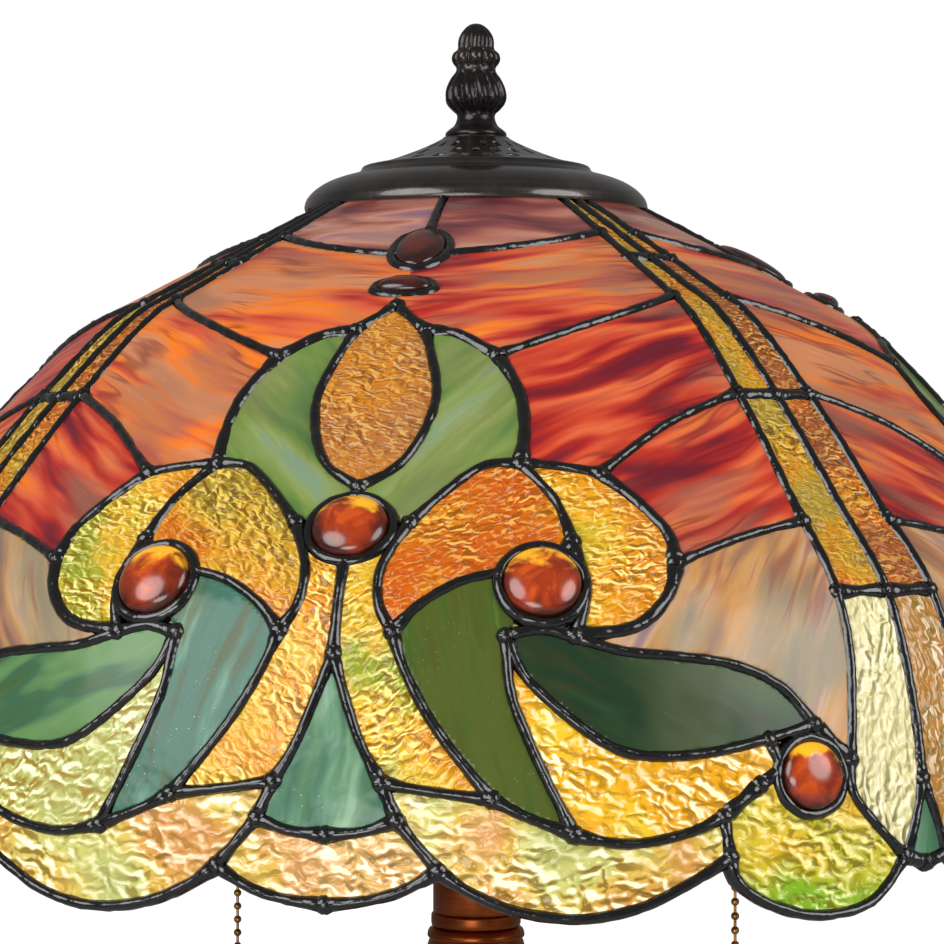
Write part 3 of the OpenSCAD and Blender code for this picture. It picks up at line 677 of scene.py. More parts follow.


# %% [markdown]
# Ripple glass is rolled hot, and cools with worm-like ridges a few millimetres apart. A drawn-out
# cloud gives their height. Each ridge gathers light on one flank and stays deep on the other, so
# the same cloud read a little to one side, taken from the first, says where a flank is pale and
# where it is dark: the pale colour is a painted highlight, and the deep one painted shade. A glow
# of the glass's own colour is painted light from behind. Ridges in the mesh would need a far finer
# grid.

# %% Ripple glass
def ripple_glass(name, stops, pale, deep, glow=0.34, painted_highlight_share=0.75, hue_pull=0.3, foot=None,
                 fine=50.0):
    """Colours in soft patches, with ridges 100 / fine mm apart, a painted highlight and painted shade
    on their flanks, and a painted glow.
    """
    f = Finish(name, rough=0.1, coat=0.15, glow=glow, IOR=1.5)
    place = f.flat_place()
    main = f.cloud(f.drifted(place, 4.0, 0.08), 3.0, 3.0, 0.5)
    main = f.tinted(main, hue_pull)
    colour = f.spread(f.span(main, 0.32, 0.68), *stops)
    if foot:
        up = f.node("ShaderNodeSeparateXYZ", {0: f.object_place()}).outputs["Z"]
        low = f.sum("ADD", up, f.span(main, 0.3, 0.7, -0.006, 0.006))
        colour = f.blend(f.span(low, 0.352, 0.338, 0, 0.9), colour, foot)
    bent = f.stretched(f.drifted(place, 14.0, 0.04), (0.6, 1.0, 1.0))
    height = f.cloud(bent, fine, 1.2, 0.4, 0.7)
    beside = f.node("ShaderNodeVectorMath", {0: bent, 1: (0.15 / fine, 0.28 / fine, 0)}).outputs[0]
    slope = f.sum("SUBTRACT", height, f.cloud(beside, fine, 1.2, 0.4, 0.7))
    # Painted highlight and painted shade: the pale colour on lit flanks and the deep colour on shaded
    # ones, strongest in soft patches.
    painted_light_patches = f.span(f.cloud(place, 5.0, 2.0), 0.38, 0.62, 0.35, 1.0)
    lit, shaded = f.span(slope, 0.02, 0.12), f.span(slope, -0.01, -0.11)
    colour = f.blend(f.sum("MULTIPLY", shaded, f.sum("MULTIPLY", painted_light_patches, 0.85)), colour, deep)
    colour = f.blend(f.sum("MULTIPLY", lit, f.sum("MULTIPLY", painted_light_patches, painted_highlight_share)), colour, pale)
    return f.finish(colour, f.bump(height, 0.002, 0.9), None, colour)


amber = ripple_glass("amber_ripple", [(0.0, "C05408"), (0.3, "C6720A"), (0.55, "CC8814"),
                                      (0.8, "BC9020"), (1.0, "948020")], "F8CE62", "6E4404")
gold = ripple_glass("gold_ripple", [(0.0, "C8760A"), (0.3, "D48E10"), (0.55, "DAA21C"),
                                    (0.8, "C8A422"), (1.0, "869422")], "FFEA94", "805004", 0.38, 0.85)
lemon = ripple_glass("lemon_ripple", [(0.0, "D89A14"), (0.3, "E2B424"), (0.6, "DAC04A"),
                                      (1.0, "A8AC62")], "FFF8C8", "94680C", 0.4, 0.9, 0.5, fine=38.0)
honey = ripple_glass("honey_ripple", [(0.0, "CA7C16"), (0.3, "BE761E"), (0.6, "B46E2A"),
                                      (1.0, "A86A3C")], "ECC06A", "7C480C", 0.26, 0.6)
blush = ripple_glass("blush_ripple", [(0.0, "CA8E4C"), (0.25, "CEA444"), (0.5, "CEB658"),
                                      (0.75, "C4BE6A"), (1.0, "AEB268")], "FFF6D0", "7C5E1A", 0.36,
                     0.9, fine=32.0)
lime = ripple_glass("lime_ripple", [(0.0, "C88E0E"), (0.3, "D4A41A"), (0.6, "D6B630"),
                                    (1.0, "AAAE30")], "FFEE9C", "766406", 0.32, foot="6CAA20",
                    fine=34.0)
frost = ripple_glass("frost_ripple", [(0.0, "DCD096"), (0.3, "D0D2A0"), (0.5, "C2C68A"),
                                      (0.7, "C09448"), (1.0, "B47A30")], "FBF8DA", "6E6A30", 0.28,
                     hue_pull=0.6, fine=38.0)
strip_amber = ripple_glass("strip_ripple", [(0.0, "A88C2C"), (0.25, "C48C10"), (0.5, "CC7E0A"),
                                            (0.75, "C45C10"), (1.0, "9C5022")], "F8CE66", "5A3A06",
                           0.28, hue_pull=0.55)
print("ripple glass:", *(m.name for m in (amber, gold, lemon, honey, blush, lime, frost, strip_amber)))


# %% [markdown]
# ## Setting the panes
# Each kind of glass is cut as one piece for the whole shade: the same outlines on both halves of
# the four quarters, each with its own seed, so that no two panes are alike. Streaks follow the
# direction a glazier chose, such as along the arcs or down a leaf.

# %% Cut and set every kind of glass
def set_glass(name, finish, slot, cuts, step=1.2, swell=0.22, wave=21):
    """cuts lists an outline, its streak angle, the tints of its right and left copies (one tint
    for a pane in the middle), and the jewels that cut it."""
    panes = []
    for k, (edge, streak, tints, cut_by) in enumerate(cuts):
        for panel in range(4):
            seed = 1000 * k + 10 * panel + len(name) * 37
            panes.append(pane(panel, edge, step, streak, seed, tints[0], swell, wave, cut_by))
            if len(tints) == 2:
                others = [(-j[0], *j[1:]) for j in cut_by]
                panes.append(pane(panel, mirrored(edge), step, -streak, seed + 5, tints[1], swell,
                                  wave, others))
    set_piece(name, gathered(panes), finish, "shade", [name])


centre, side, rim = jewels["centre"][0], jewels["side"][0], jewels["rim"][0]
set_glass("top_glass", dusk, "top_glass", [
    (np.vstack([[[a, top_level] for a in (0, 20, 40)], line["row_1"][::-1]]), 4, (0.2, 0.7),
     jewels["top"])])
set_glass("sunset_glass", sunset, "sunset_glass", [
    (outline("row_1", "row_2<", "lobe_top<", "vesica_top<"), 10, (0.45, 0.75), jewels["top"]),
    (outline("row_2", "row_3<", "crescent_top<", "lobe_side<"), 24, (0.4, 0.9), ()),
    (outline("row_3", "row_4<", "crescent_outer<"), 32, (0.3, 0.45), ())], 1.25)
set_glass("mauve_glass", smoke, "mauve_glass", [
    (outline("row_4", "strip_low", (35.8, -66), "leaf_top<", "crescent_tip<"), 68, (0.5, 0.4),
     [rim])])

# %% Set the green and teal glass
set_glass("lobe_glass", moss, "green_glass", [
    (outline("lobe_top", "lobe_side", "curl_top", (2, -12), "vesica_low<"), 52, (0.6, 0.4),
     [centre])])
set_glass("leaf_glass", leaf_green, "green_glass", [
    (outline("leaf_root", "leaf_top", "leaf_low<"), -24, (0.25, 0.9), [side])])
set_glass("blade_glass", fern, "teal_glass", [
    (outline("curl_low", (15.6, -30), "blade_side", "scallop_near<", "vee_outer<"), -72,
     (0.7, 0.15), [side])])
set_glass("triangle_glass", lagoon, "teal_glass", [
    (whole_triangle, 80, (0.6,), ())])
set_glass("corner_glass", lagoon, "teal_glass", [
    (np.array([[45, -81], [43.1, -100], [45, -102], [46.9, -100]]), 80, (0.2,), ())])

# %% Set the ripple glass
rippled = {"swell": 0.35, "wave": 8}
set_glass("vesica_glass", honey, "amber_glass", [(whole_vesica, -8, (0.5,), ())], **rippled)
set_glass("curl_glass", amber, "amber_glass", [
    (outline("curl_top", "curl_inner", "curl_low", "divider<"), 30, (0.25, 0.7), [centre, side])],
    **rippled)
set_glass("crescent_glass", gold, "gold_glass", [
    (outline("crescent_top", "crescent_outer", "crescent_tip", "crescent_inner<", "divider<"),
     8, (0.5, 0.6), [side])], **rippled)
set_glass("vee_glass", gold, "gold_glass", [
    (outline((0, -23), (0, -47.5), "triangle_side", "vee_base", "vee_outer<", "curl_inner<",
             (3, -20)), 30, (0.35, 0.5), [centre])], **rippled)
set_glass("gold_glass", lemon, "gold_glass", [
    (np.vstack([outline("blade_side", "scallop_far", "gold_low", "gold_end"), leaf_run[::-1]]),
     -20, (0.25, 0.9), [rim])], **rippled)

# %% Set the ripple glass along the rim and in the strips
set_glass("scallop_glass", blush, "pale_glass", [
    (outline("vee_base", "scallop_near", "scallop_far", "rim_lobe_side", "rim_scallop<",
             (5, -87.5)), 0, (0.5, 0.5), ()),
    (whole_scallop, 0, (0.2,), ())], **rippled)
set_glass("rim_lobe_glass", lime, "gold_glass", [
    (outline((28.1, -87.5), (31, -80), (35.1, -78.5), (38.6, -83), "strip_tail", "rim_lobe<"),
     -15, (0.5, 0.5), [rim])], **rippled)
set_glass("strip_glass", strip_amber, "amber_glass", [
    (strip, -12, tints, ()) for strip, tints in zip(strips, ((0.1, 0.3), (0.25, 0.95), (0.4, 0.6)))],
    **rippled)
set_glass("strip_foot_glass", frost, "clear_glass", [
    (np.vstack([foot_run, line["strip_tail"], [[45, -81], [45, foot_level], [40, foot_level]]]), 90,
     (0.15, 0.9), [rim])], **rippled)

# %% [markdown]
# ## The solder lines
# Each pane is edged with copper foil, and the gaps are flooded with solder, which is then turned
# black. The solder stands up as a bead, uneven where the iron stopped, and swells where lines
# meet. A bead is a section carried along its line: an oval across the surface, with a size that
# wavers along the way. Closing both ends keeps each bead a solid.

# %% The black solder
def black_solder():
    """A nearly black, glossy skin with lumps, worn a little browner."""
    f = Finish("black_solder", rough=0.18, coat=0.2, IOR=1.65, **{"Coat Roughness": 0.06})
    place = f.object_place()
    lumps = f.cloud(place, 210.0, 2.0, 0.4, 0.4)
    worn = f.cloud(place, 90.0, 5.0, 0.7)
    colour = f.spread(f.span(worn, 0.35, 0.78), (0.0, "040303"), (0.6, "0A0808"), (0.9, "14100E"),
                      (1.0, "2C2420"))
    return f.finish(colour, f.bump(lumps, 0.0012, 0.6), f.span(lumps, 0.35, 0.75, 0.12, 0.26))


solder = black_solder()
print("solder finish:", solder.name)


# %% Carry a bead along a line
def bead_along(panel, way, wide, deep, seed, spacing=1.5, around=12):
    """An oval of width wide and depth deep carried along the line on the shade.

    The centre is half a glass below the face. With t along the line, n outwards and b = t x n, a
    point is centre + b wide/2 cos(p) k + n deep/2 sin(p) k, where k wavers with gradient noise and
    falls off at both ends like a quarter of a circle. The width flares towards both ends.
    """
    r = along_dome(dome[:, 0], way[:, 1])
    step = np.hypot(np.radians(np.gradient(way[:, 0])) * r,
                    np.gradient(along_dome(dome_run, way[:, 1])))
    run = np.concatenate([[0], np.cumsum((step[1:] + step[:-1]) / 2)])
    count = max(int(run[-1] / spacing), 2) + 1
    s = np.linspace(0, run[-1], count)
    angle, height = np.interp(s, run, way[:, 0]), np.interp(s, run, way[:, 1])
    centre_line = on_shade(panel, angle, height, -glass_t / 2)
    n = out_of_shade(panel, angle, height)
    t = np.gradient(centre_line, axis=0)
    t /= np.linalg.norm(t, axis=1)[:, None]
    b = np.cross(t, n)
    p = np.linspace(0, 2 * np.pi, around, endpoint=False)
    k = 1 + 0.15 * unevenness(s / 5, 0 * s, seed)[:, None] + 0.12 * unevenness(
        s[:, None] / 1.8, 2 * np.cos(p)[None, :] + 7, seed + 1)
    end = np.minimum(s, run[-1] - s) / (wide / 2)
    k = k * np.sqrt(np.clip(1 - (1 - np.clip(end, 0, 1)) ** 2, 0.12, 1))[:, None]
    flare = 1 + 0.45 * np.exp(-(np.minimum(s, run[-1] - s) / 4.5) ** 2)[:, None]
    body = (centre_line[:, None] + b[:, None] * (wide / 2 * np.cos(p) * k * flare)[..., None]
            + n[:, None] * (deep / 2 * np.sin(p) * k)[..., None])
    return tube(body, centre_line[0], centre_line[-1])


# %% [markdown]
# Round each jewel the bead closes on itself. The same oval section goes round the jewel's outline,
# held in the flat plane that touches the dome there.

# %% A plane that touches the dome, and the rim of a jewel
bezel_gap, bezel_sink = 1.2, 1.2


def touching_plane(panel, angle, height):
    """A point on the dome and the three unit vectors there: across, up the slant and outwards."""
    n = out_of_shade(panel, angle, height)
    across = on_shade(panel, angle + 0.5, height) - on_shade(panel, angle - 0.5, height)
    across /= np.linalg.norm(across)
    return on_shade(panel, angle, height), across, np.cross(n, across), n


def on_plane(plane, x, y, z):
    """Points x across, y up the slant and z outwards from where the plane touches."""
    place, across, up, n = plane
    x, y, z = (np.asarray(v, float)[..., None] for v in (x, y, z))
    return place + x * across + y * up + z * n


def jewel_rim(panel, jewel, seed, wide=3.5, deep=4.8, around=12):
    """An oval section carried round an ellipse a little outside the jewel."""
    angle, height, half_x, half_up, half_down = jewel
    plane = touching_plane(panel, angle, height)
    steps = int(2 * np.pi * (half_x + half_up) / 2 / 1.4)
    q = np.linspace(0, 2 * np.pi, steps, endpoint=False)
    half_y = np.where(np.sin(q) > 0, half_up, half_down)
    x, y = (half_x + bezel_gap) * np.cos(q), (half_y + bezel_gap) * np.sin(q)
    out = np.stack([np.cos(q) * half_y, np.sin(q) * half_x], -1)
    out /= np.hypot(*out.T)[:, None]
    p = np.linspace(0, 2 * np.pi, around, endpoint=False)
    k = 1 + 0.18 * unevenness(3 * np.cos(q)[:, None] + 0.6 * np.cos(p), 3 * np.sin(q)[:, None]
                              + 0.6 * np.sin(p), seed)
    side_way = wide / 2 * np.cos(p) * k
    rise = deep / 2 * np.sin(p) * k - bezel_sink
    flat_x, flat_y = x[:, None] + out[:, :1] * side_way, y[:, None] + out[:, 1:] * side_way
    return hoop(on_plane(plane, flat_x, flat_y, rise))


# %% [markdown]
# Where beads meet, the solder pools. A flattened ball at every line's end makes the pool, and it
# hides the joint as the real one does.

# %% A pool of solder
pool_size, pool_rise = 2.7, 3.0


def pool(panel, angle, height, size, seed):
    """A flattened ball: x and y as a sphere's, with the height of a bead, uneven by noise."""
    plane = touching_plane(panel, angle, height)
    rise = np.linspace(-np.pi / 2, np.pi / 2, 9)[1:-1, None]
    q = np.linspace(0, 2 * np.pi, 14, endpoint=False)[None, :]
    k = 1 + 0.22 * unevenness(1.3 * np.cos(q) + 9, 1.3 * np.sin(q) + rise, seed)
    x, y, z = (size * k * np.cos(rise) * np.cos(q), size * k * np.cos(rise) * np.sin(q),
               pool_rise * k * np.sin(rise) - glass_t / 2)
    return tube(on_plane(plane, x, y, z), on_plane(plane, 0, 0, -pool_rise - glass_t / 2),
                on_plane(plane, 0, 0, pool_rise - glass_t / 2))


# %% Lay the solder of each quarter
rim_names = ("rim_centre", "rim_scallop", "rim_lobe", "corner_rim")
heavy_names = ("strip_bar_1", "strip_bar_2", "strip_bar_3", "lobe_side", "lobe_top", "leaf_tie",
               "crescent_outer", "crescent_tip", "gold_low")
bead_wide, heavy_wide, middle_wide = 3.2, 4.0, 3.4
bead_deep, rim_deep = 5.2, 5.8
for panel in range(4):
    beads = []
    for k, (name, way) in enumerate(line.items()):
        wide = heavy_wide if name in heavy_names else bead_wide
        deep = rim_deep if name in rim_names else bead_deep
        for flip, shape in ((0, way), (1, mirrored(way))):
            beads.append(bead_along(panel, shape, wide, deep, 31 * k + 7 * panel + 400 * flip))
            for end in (shape[0], shape[-1]):
                beads.append(pool(panel, end[0], end[1], pool_size, 17 * k + panel + 90 * flip))
    for k, way in enumerate(middle_line.values()):
        beads.append(bead_along(panel, way, middle_wide, bead_deep, 900 + 31 * k + panel))
    for k, jewel in enumerate(all_jewels):
        beads.append(jewel_rim(panel, jewel, 700 + 13 * k + panel))
    node = f"lead_panel_{panel + 1}"
    set_piece(f"solder_{panel + 1}", gathered(beads), solder, "shade", [node])

# %% [markdown]
# ## The jewels
# A cabochon is a pressed glass dome, deep red at the edge, where one looks through most glass, and
# bright orange where the light comes through. The mark called edge runs from 0 in the middle to 1
# at the outline, and lift from -1 at its lowest point to 1 at its highest. The colours follow them:
# the bright middle is painted light coming through, and a patch along the upper edge is a painted
# highlight, where light from above gathers on such a dome. A glow of the jewel's own colour is
# painted light from behind.

# %% Polished jewels
def jewel_finish(name, stops, top_light, glow):
    """Colours from the middle to the outline, broken by a swirl, a painted highlight caught high up,
    and a painted glow.
    """
    f = Finish(name, rough=0.2, coat=0.35, glow=glow, IOR=1.6, **{"Coat Roughness": 0.14})
    swirl = f.cloud(f.drifted(f.object_place(), 60.0, 0.01), 95.0, 4.0, 0.6, 0.6)
    depth = f.sum("ADD", f.mark("edge"), f.span(swirl, 0.3, 0.7, -0.3, 0.45))
    colour = f.spread(depth, *stops)
    # Painted highlight: the top_light colour is laid high on the dome, where light from above would
    # gather.
    patch = f.cloud(f.object_place(), 110.0, 3.0, 0.6, 0.5)
    caught = f.sum("MULTIPLY_ADD", patch, 2.6, f.mark("lift"))
    colour = f.blend(f.span(caught, 1.6, 2.15, 0, 0.95), colour, top_light)
    normal = f.bump(f.cloud(f.object_place(), 120.0, 1.0), 0.0004, 0.3)
    return f.finish(colour, normal, None, colour)


fire = jewel_finish("fire_jewel", [(0.0, "BC4806"), (0.25, "9C3202"), (0.5, "7E2400"),
                                   (0.8, "581600"), (1.0, "380C00")], "FFB41E", 0.32)
wine = jewel_finish("wine_jewel", [(0.0, "5A1406"), (0.4, "380A06"), (0.75, "200606"),
                                   (1.0, "300A06")], "7A2408", 0.14)


jewel_back, skirt = -2.9, 0.8


def cabochon(panel, jewel, top):
    """A profile of back, skirt and dome, spun and stretched to the jewel's outline.

    The dome is top * sqrt(1 - s^2) for s from 1 at the outline to 0 in the middle, above a skirt.
    """
    angle, height, half_x, half_up, half_down = jewel
    plane = touching_plane(panel, angle, height)
    s = np.concatenate([[0.5, 0.97, 1.0], np.sin(np.linspace(np.pi / 2, 0, 12)[:-1])])
    z = np.concatenate([[jewel_back, -2.8, -2.0],
                        skirt + top * np.cos(np.linspace(np.pi / 2, 0, 12)[:-1])])
    q = np.linspace(0, 2 * np.pi, 48, endpoint=False)
    half_y = np.where(np.sin(q) > 0, half_up, half_down)
    x, y = s[:, None] * half_x * np.cos(q), s[:, None] * half_y * np.sin(q)
    z = np.broadcast_to(z[:, None], x.shape)
    clay = tube(on_plane(plane, x, y, z), on_plane(plane, 0, 0, jewel_back),
                on_plane(plane, 0, 0, skirt + top))
    edge = np.concatenate([np.repeat(s ** 3, len(q)), [0, 0]])
    lift = np.concatenate([(s[:, None] * np.sin(q)).ravel(), [0, 0]])
    return Clay(clay.points, clay.quads, clay.tris, None, edge=edge, lift=lift)


for group, finish, slot_name, node, top in (
        ("centre", fire, "jewel", "centre_cabochons", 4.1),
        ("side", fire, "jewel", "side_cabochons", 4.1),
        ("rim", fire, "jewel", "rim_cabochons", 3.5),
        ("top", wine, "dark_jewel", "top_jewels", 2.4)):
    domes = [cabochon(panel, j, top) for panel in range(4) for j in jewels[group]]
    set_piece(node, gathered(domes), finish, "shade", [node])

# %% [markdown]
# ## The cap and the finial
# The cap is spun sheet metal with a rolled band, a step and a hollow cone pierced by short slots.
# It is a body of revolution again, so its two sides are a profile turned about Z, and the slots
# are cells left out of the grid. The brushed lines run round it, as the lathe left them.

# %% The dark bronze finish
def turned_metal(name, dark, light, rough, lines=900.0, metal=0.9, copper=None, coat=0.1):
    """Fine rings from a wave across the height, worn patches, and a fine speckled bump."""
    f = Finish(name, rough=rough, metal=metal, coat=coat)
    place = f.object_place()
    wear = f.cloud(place, 55.0, 6.0, 0.65)
    colour = f.spread(f.span(wear, 0.15, 0.85), (0.0, dark), (0.6, light), (1.0, copper or light))
    rings = f.cloud(f.stretched(place, (6.0, 6.0, lines)), 1.0, 3.0, 0.6)
    colour = f.blend(f.span(rings, 0.35, 0.75, 0, 0.25), colour, copper or light)
    speck = f.cloud(place, 900.0, 2.0)
    normal = f.bump(speck, 0.0001, 0.3, f.bump(rings, 0.00015, 0.35))
    return f.finish(colour, normal, f.span(rings, 0.3, 0.8, rough - 0.08, rough + 0.12))


gunmetal = turned_metal("gunmetal", "2A2725", "4A4542", 0.28, 1400.0, 0.85, "6A625C", 0.6)
black_bronze = turned_metal("black_bronze", "1C1A1B", "322E2E", 0.26, 200.0, 0.8, "504844")
antique_bronze = turned_metal("antique_bronze", "4C200E", "90421A", 0.34, 1100.0, 0.95, "BE7434")
print("metals:", gunmetal.name, black_bronze.name, antique_bronze.name)


# %% The pierced cap
def spun(profile, around):
    """A profile of [r, z] turned about Z."""
    q = np.linspace(0, 2 * np.pi, around, endpoint=False)
    return about_z(profile[:, :1], q, profile[:, 1:])


cap_out = bend([[3.1, 549], [9.6, 549], [10.6, 548.5], [13, 547.2], [17, 545.3], [22, 543.3],
                [27.3, 541.4], [31, 540.4], [34.4, 539.7], [35.5, 539.3], [36.3, 538],
                [38.4, 537], [43, 535.7], [47, 534.1], [50.4, 531.9], [52.7, 529.4],
                [53.5, 527.2], [53.4, 525.9]], 7)
cap_way = np.gradient(cap_out, axis=0)
cap_way /= np.hypot(*cap_way.T)[:, None]
sheet_t, rod_hole_r = 1.15, 3.04
cap_in = cap_out - sheet_t * np.stack([-cap_way[:, 1], cap_way[:, 0]], -1)
cap_in[:, 0] = np.maximum(cap_in[:, 0], rod_hole_r)
cap_in[-1] = [52.2, 525.9]
around = 288
mid_r = (cap_out[:-1, 0] + cap_out[1:, 0])[:, None] / 2
mid_q = (np.arange(around)[None, :] + 0.5) * 360 / around
keep = np.ones((len(cap_out) - 1, around), bool)
slot_pitch = 360 / 24
slot_rows = ((14.6, 18.6), (20.6, 24.8), (27, 31.4))
for k, (near, far) in enumerate(slot_rows):
    q = (mid_q + k * slot_pitch / 2) % slot_pitch
    hole = (mid_r > near) & (mid_r < far) & (q > 4.5) & (q < 10.5)
    group = ((mid_q + k * slot_pitch / 2) // slot_pitch).astype(int) % 6
    keep &= ~(hole & (group != 5 - k))
cap = two_sheets(spun(cap_out, around), spun(cap_in, around), keep, None, True)
set_piece("vented_cap", cap, gunmetal, "shade", ["vented_cap"])

# %% [markdown]
# The finial is cast: a foot, a ribbed bulb, a waist, a collar of curled leaves and a fluted bud.
# It is still a body turned about Z, but its radius also waves round the axis. The number of waves
# and their depth change with height, which one formula covers. Sculpting would take longer and
# give no more.

# %% The cast finial
finial_foot, finial_tip = 549.3, 584.6
finial_profile = bend([[9.5, finial_foot], [9.5, 550.3], [8.4, 551.4], [6.9, 552.6], [6.0, 554.6],
                       [6.1, 556.2], [7.8, 557.8], [9.4, 559.8], [9.8, 562], [9.3, 564.6],
                       [7.9, 567.4], [6.4, 569.4], [6.2, 570.8], [7.2, 572.2], [7.6, 573.6],
                       [7.2, 575.2], [5.9, 576.6], [5.8, 578.6], [5.3, 580.6], [4.0, 582.6],
                       [2.2, 584.1], [0.6, finial_tip]], 6)
q = np.linspace(0, 2 * np.pi, 144, endpoint=False)[None, :]
r, z = finial_profile[:, 0][:, None], finial_profile[:, 1][:, None]


def between(low, high, soft=0.8):
    """1 between two heights and 0 outside, with soft steps."""
    return 1 / (1 + np.exp(-(z - low) / soft * 3)) / (1 + np.exp((z - high) / soft * 3))


gadroon = between(556.5, 569.2) * (np.abs(np.sin(6 * q + 0.12 * (z - 562))) ** 0.7 - 1) * 0.17
curls = between(571.0, 576.2, 0.5) * (np.abs(np.cos(4 * q)) ** 0.6 - 1) * 0.24
flutes = between(576.4, 583.8) * (np.abs(np.sin(5 * q - 0.1 * (z - 576))) ** 0.8 - 1) * 0.16
radius = r * (1 + gadroon + curls + flutes)
finial = tube(about_z(radius, q, z), [0, 0, finial_foot], [0, 0, finial_tip])
set_piece("finial", finial, black_bronze, "finial", ["finial"])

# %% [markdown]
# ## The stand
# The foot, the vase and the shaft are cast and turned in antique bronze. They carry plain rings
# and low ribs, which catch the light better than a smooth cone. Each is a closed profile turned
# about Z, with ribs where the real casting would have them.

# %% Turn a solid profile, with ribs
def turned_solid(profile, ribs=0, depth=0.0, low=0.0, high=0.0, around=144):
    """A closed profile of [r, z] turned about Z, its radius cut by depth * |sin(ribs q / 2)|
    between two heights."""
    p = np.asarray(profile, float)
    q = np.linspace(0, 2 * np.pi, around, endpoint=False)[None, :]
    r, z = p[:, 0][:, None], p[:, 1][:, None]
    part = np.clip((z - low) / 3, 0, 1) * np.clip((high - z) / 3, 0, 1) if ribs else 0.0
    radius = r * (1 - depth * part * (1 - np.abs(np.sin(ribs * q / 2)) ** 0.8)) if ribs else r + 0 * q
    return hoop(about_z(radius, q, z))


def corners(*points):
    """Profile points joined by straight runs, so that a moulding keeps its crisp edges."""
    return np.array(points, float)


def set_bronze(name, solid):
    """A part of the stand, in place of the measured part of the same name."""
    set_piece(name, solid, antique_bronze, "stand", [name])


foot_shell = np.vstack([
    corners([5.1, 52], [24.6, 52], [25, 51.6]),
    bend([[25, 51.6], [26, 47], [30, 41.8], [36, 36.4], [44, 31.6], [53, 27.2]], 5),
    corners([53.4, 28], [55.4, 28], [56.2, 26.4]),
    bend([[56.2, 26.4], [61, 23.4], [67, 20.4], [71.6, 18]], 4),
    corners([72, 17.9], [73.6, 18], [75, 16.4], [75.2, 14.6]),
    bend([[75.2, 14.6], [79, 14.2], [82.6, 12.6], [85, 10.6], [86, 8.4], [86, 5], [84.6, 3],
          [83, 2]], 4),
    corners([77, 2], [77, 8], [68, 12], [50, 20], [34, 28], [22, 38], [22, 44], [5.1, 44])])
set_bronze("base_casting", turned_solid(foot_shell, 40, 0.045, 28, 50))
vase = np.vstack([
    corners([12, 60], [18.8, 60], [19, 61], [20.4, 62], [20.4, 63.4], [19.8, 64]),
    bend([[19.8, 64], [23.5, 67.5], [26.6, 76], [27.4, 88], [25.2, 104], [20.4, 124], [16.6, 140],
          [15.2, 147]], 7),
    corners([16.2, 148], [16.2, 150], [11, 150], [12, 138], [20, 104], [23, 84], [19, 68], [12, 66])])
set_bronze("column_vase", turned_solid(vase, 24, 0.06, 66, 144))

# %% The shaft and its rings
shaft = np.vstack([
    corners([10, 160], [12.8, 160], [13, 161]),
    bend([[13, 161], [13, 200], [13, 240], [13.6, 256], [14.6, 266], [15.2, 272]], 6),
    corners([15.2, 280], [15.2, 290], [15.2, 297]),
    bend([[15.2, 297], [14.8, 298.4], [14.4, 299.3], [15.1, 299.9], [15.1, 301], [14.6, 302.2],
          [13.2, 303]], 4),
    corners([10, 303])])
set_bronze("column_shaft", turned_solid(shaft))
neck = corners([11.4, 307.3], [13.2, 307.3], [13.4, 307.7], [13.4, 316], [13.4, 325], [13.4, 335],
               [13.4, 344.6], [13.2, 345], [11.4, 345])
set_bronze("neck_pipe", turned_solid(neck))
top_ring = np.vstack([
    corners([5.1, 303], [13.0, 303]),
    bend([[13.0, 303], [13.8, 303.4], [14.0, 304.4], [14.0, 305.8], [13.9, 306.8], [13.3, 307.3]], 4),
    corners([5.1, 307.3])])
set_bronze("column_top_ring", turned_solid(top_ring))

# %% [markdown]
# ## The bulbs
# The two bulbs are frosted and unlit. A frosted bulb is a soft white shape, so its pear outline is
# enough, with a little mottling in the frost. A faint glow of its own colour is painted light, though
# the bulbs are unlit.

# %% Frosted bulbs
def frosted_glass():
    """Warm white with a faint mottle, and a faint painted glow."""
    f = Finish("frosted_glass", rough=0.38, coat=0.3, glow=0.12, IOR=1.5)
    place = f.object_place()
    mottle = f.cloud(place, 260.0, 4.0)
    colour = f.spread(f.span(mottle, 0.3, 0.7), (0.0, "E9E4D4"), (1.0, "FAF7EC"))
    return f.finish(colour, f.bump(f.cloud(place, 1800.0, 2.0), 0.0001, 0.4),
                    f.span(mottle, 0.3, 0.7, 0.3, 0.45), colour)


frost_white = frosted_glass()
socket_out, socket_turn, socket_low = 62, -26, 376
bulb_foot, bulb_top = 50, 119
bulb_outline = bend([[12.6, bulb_foot], [12.8, 54], [14.2, 60], [18, 68], [22.4, 79], [24, 90],
                     [22, 101], [17, 110], [10, 116.4], [3, 118.8], [0.5, bulb_top]], 6)
for name, way in (("right", 0), ("left", 180)):
    turn = np.radians(socket_turn + way)
    middle = np.array([socket_out * np.cos(turn), socket_out * np.sin(turn), socket_low])
    rings = spun(bulb_outline, 48) + middle
    bulb = tube(rings, middle + [0, 0, bulb_foot], middle + [0, 0, bulb_top])
    set_piece(f"bulb_glass_{name}", bulb, frost_white, f"bulb_{name}",
              [f"bulb_glass_{name}"])

# %% [markdown]
# ## Finishes for the measured parts that stay
# Sockets, arms, chains, nuts and the felt are already the right shape, so they only need a finish.
# Each finish is chosen by the slot that the record gives the part.

# %% Brass, porcelain, felt and the rest
def plain_brass():
    """Yellow metal, duller and darker where it has tarnished."""
    f = Finish("plain_brass", rough=0.26, metal=1.0, coat=0.15)
    place = f.object_place()
    tarnish = f.cloud(place, 130.0, 5.0, 0.65)
    colour = f.spread(f.span(tarnish, 0.15, 0.8), (0.0, "6E4C1E"), (0.45, "A87F3C"), (1.0, "CDA65A"))
    normal = f.bump(f.cloud(place, 1400.0, 2.0), 0.0001, 0.3)
    return f.finish(colour, normal, f.span(tarnish, 0.3, 0.75, 0.36, 0.18))


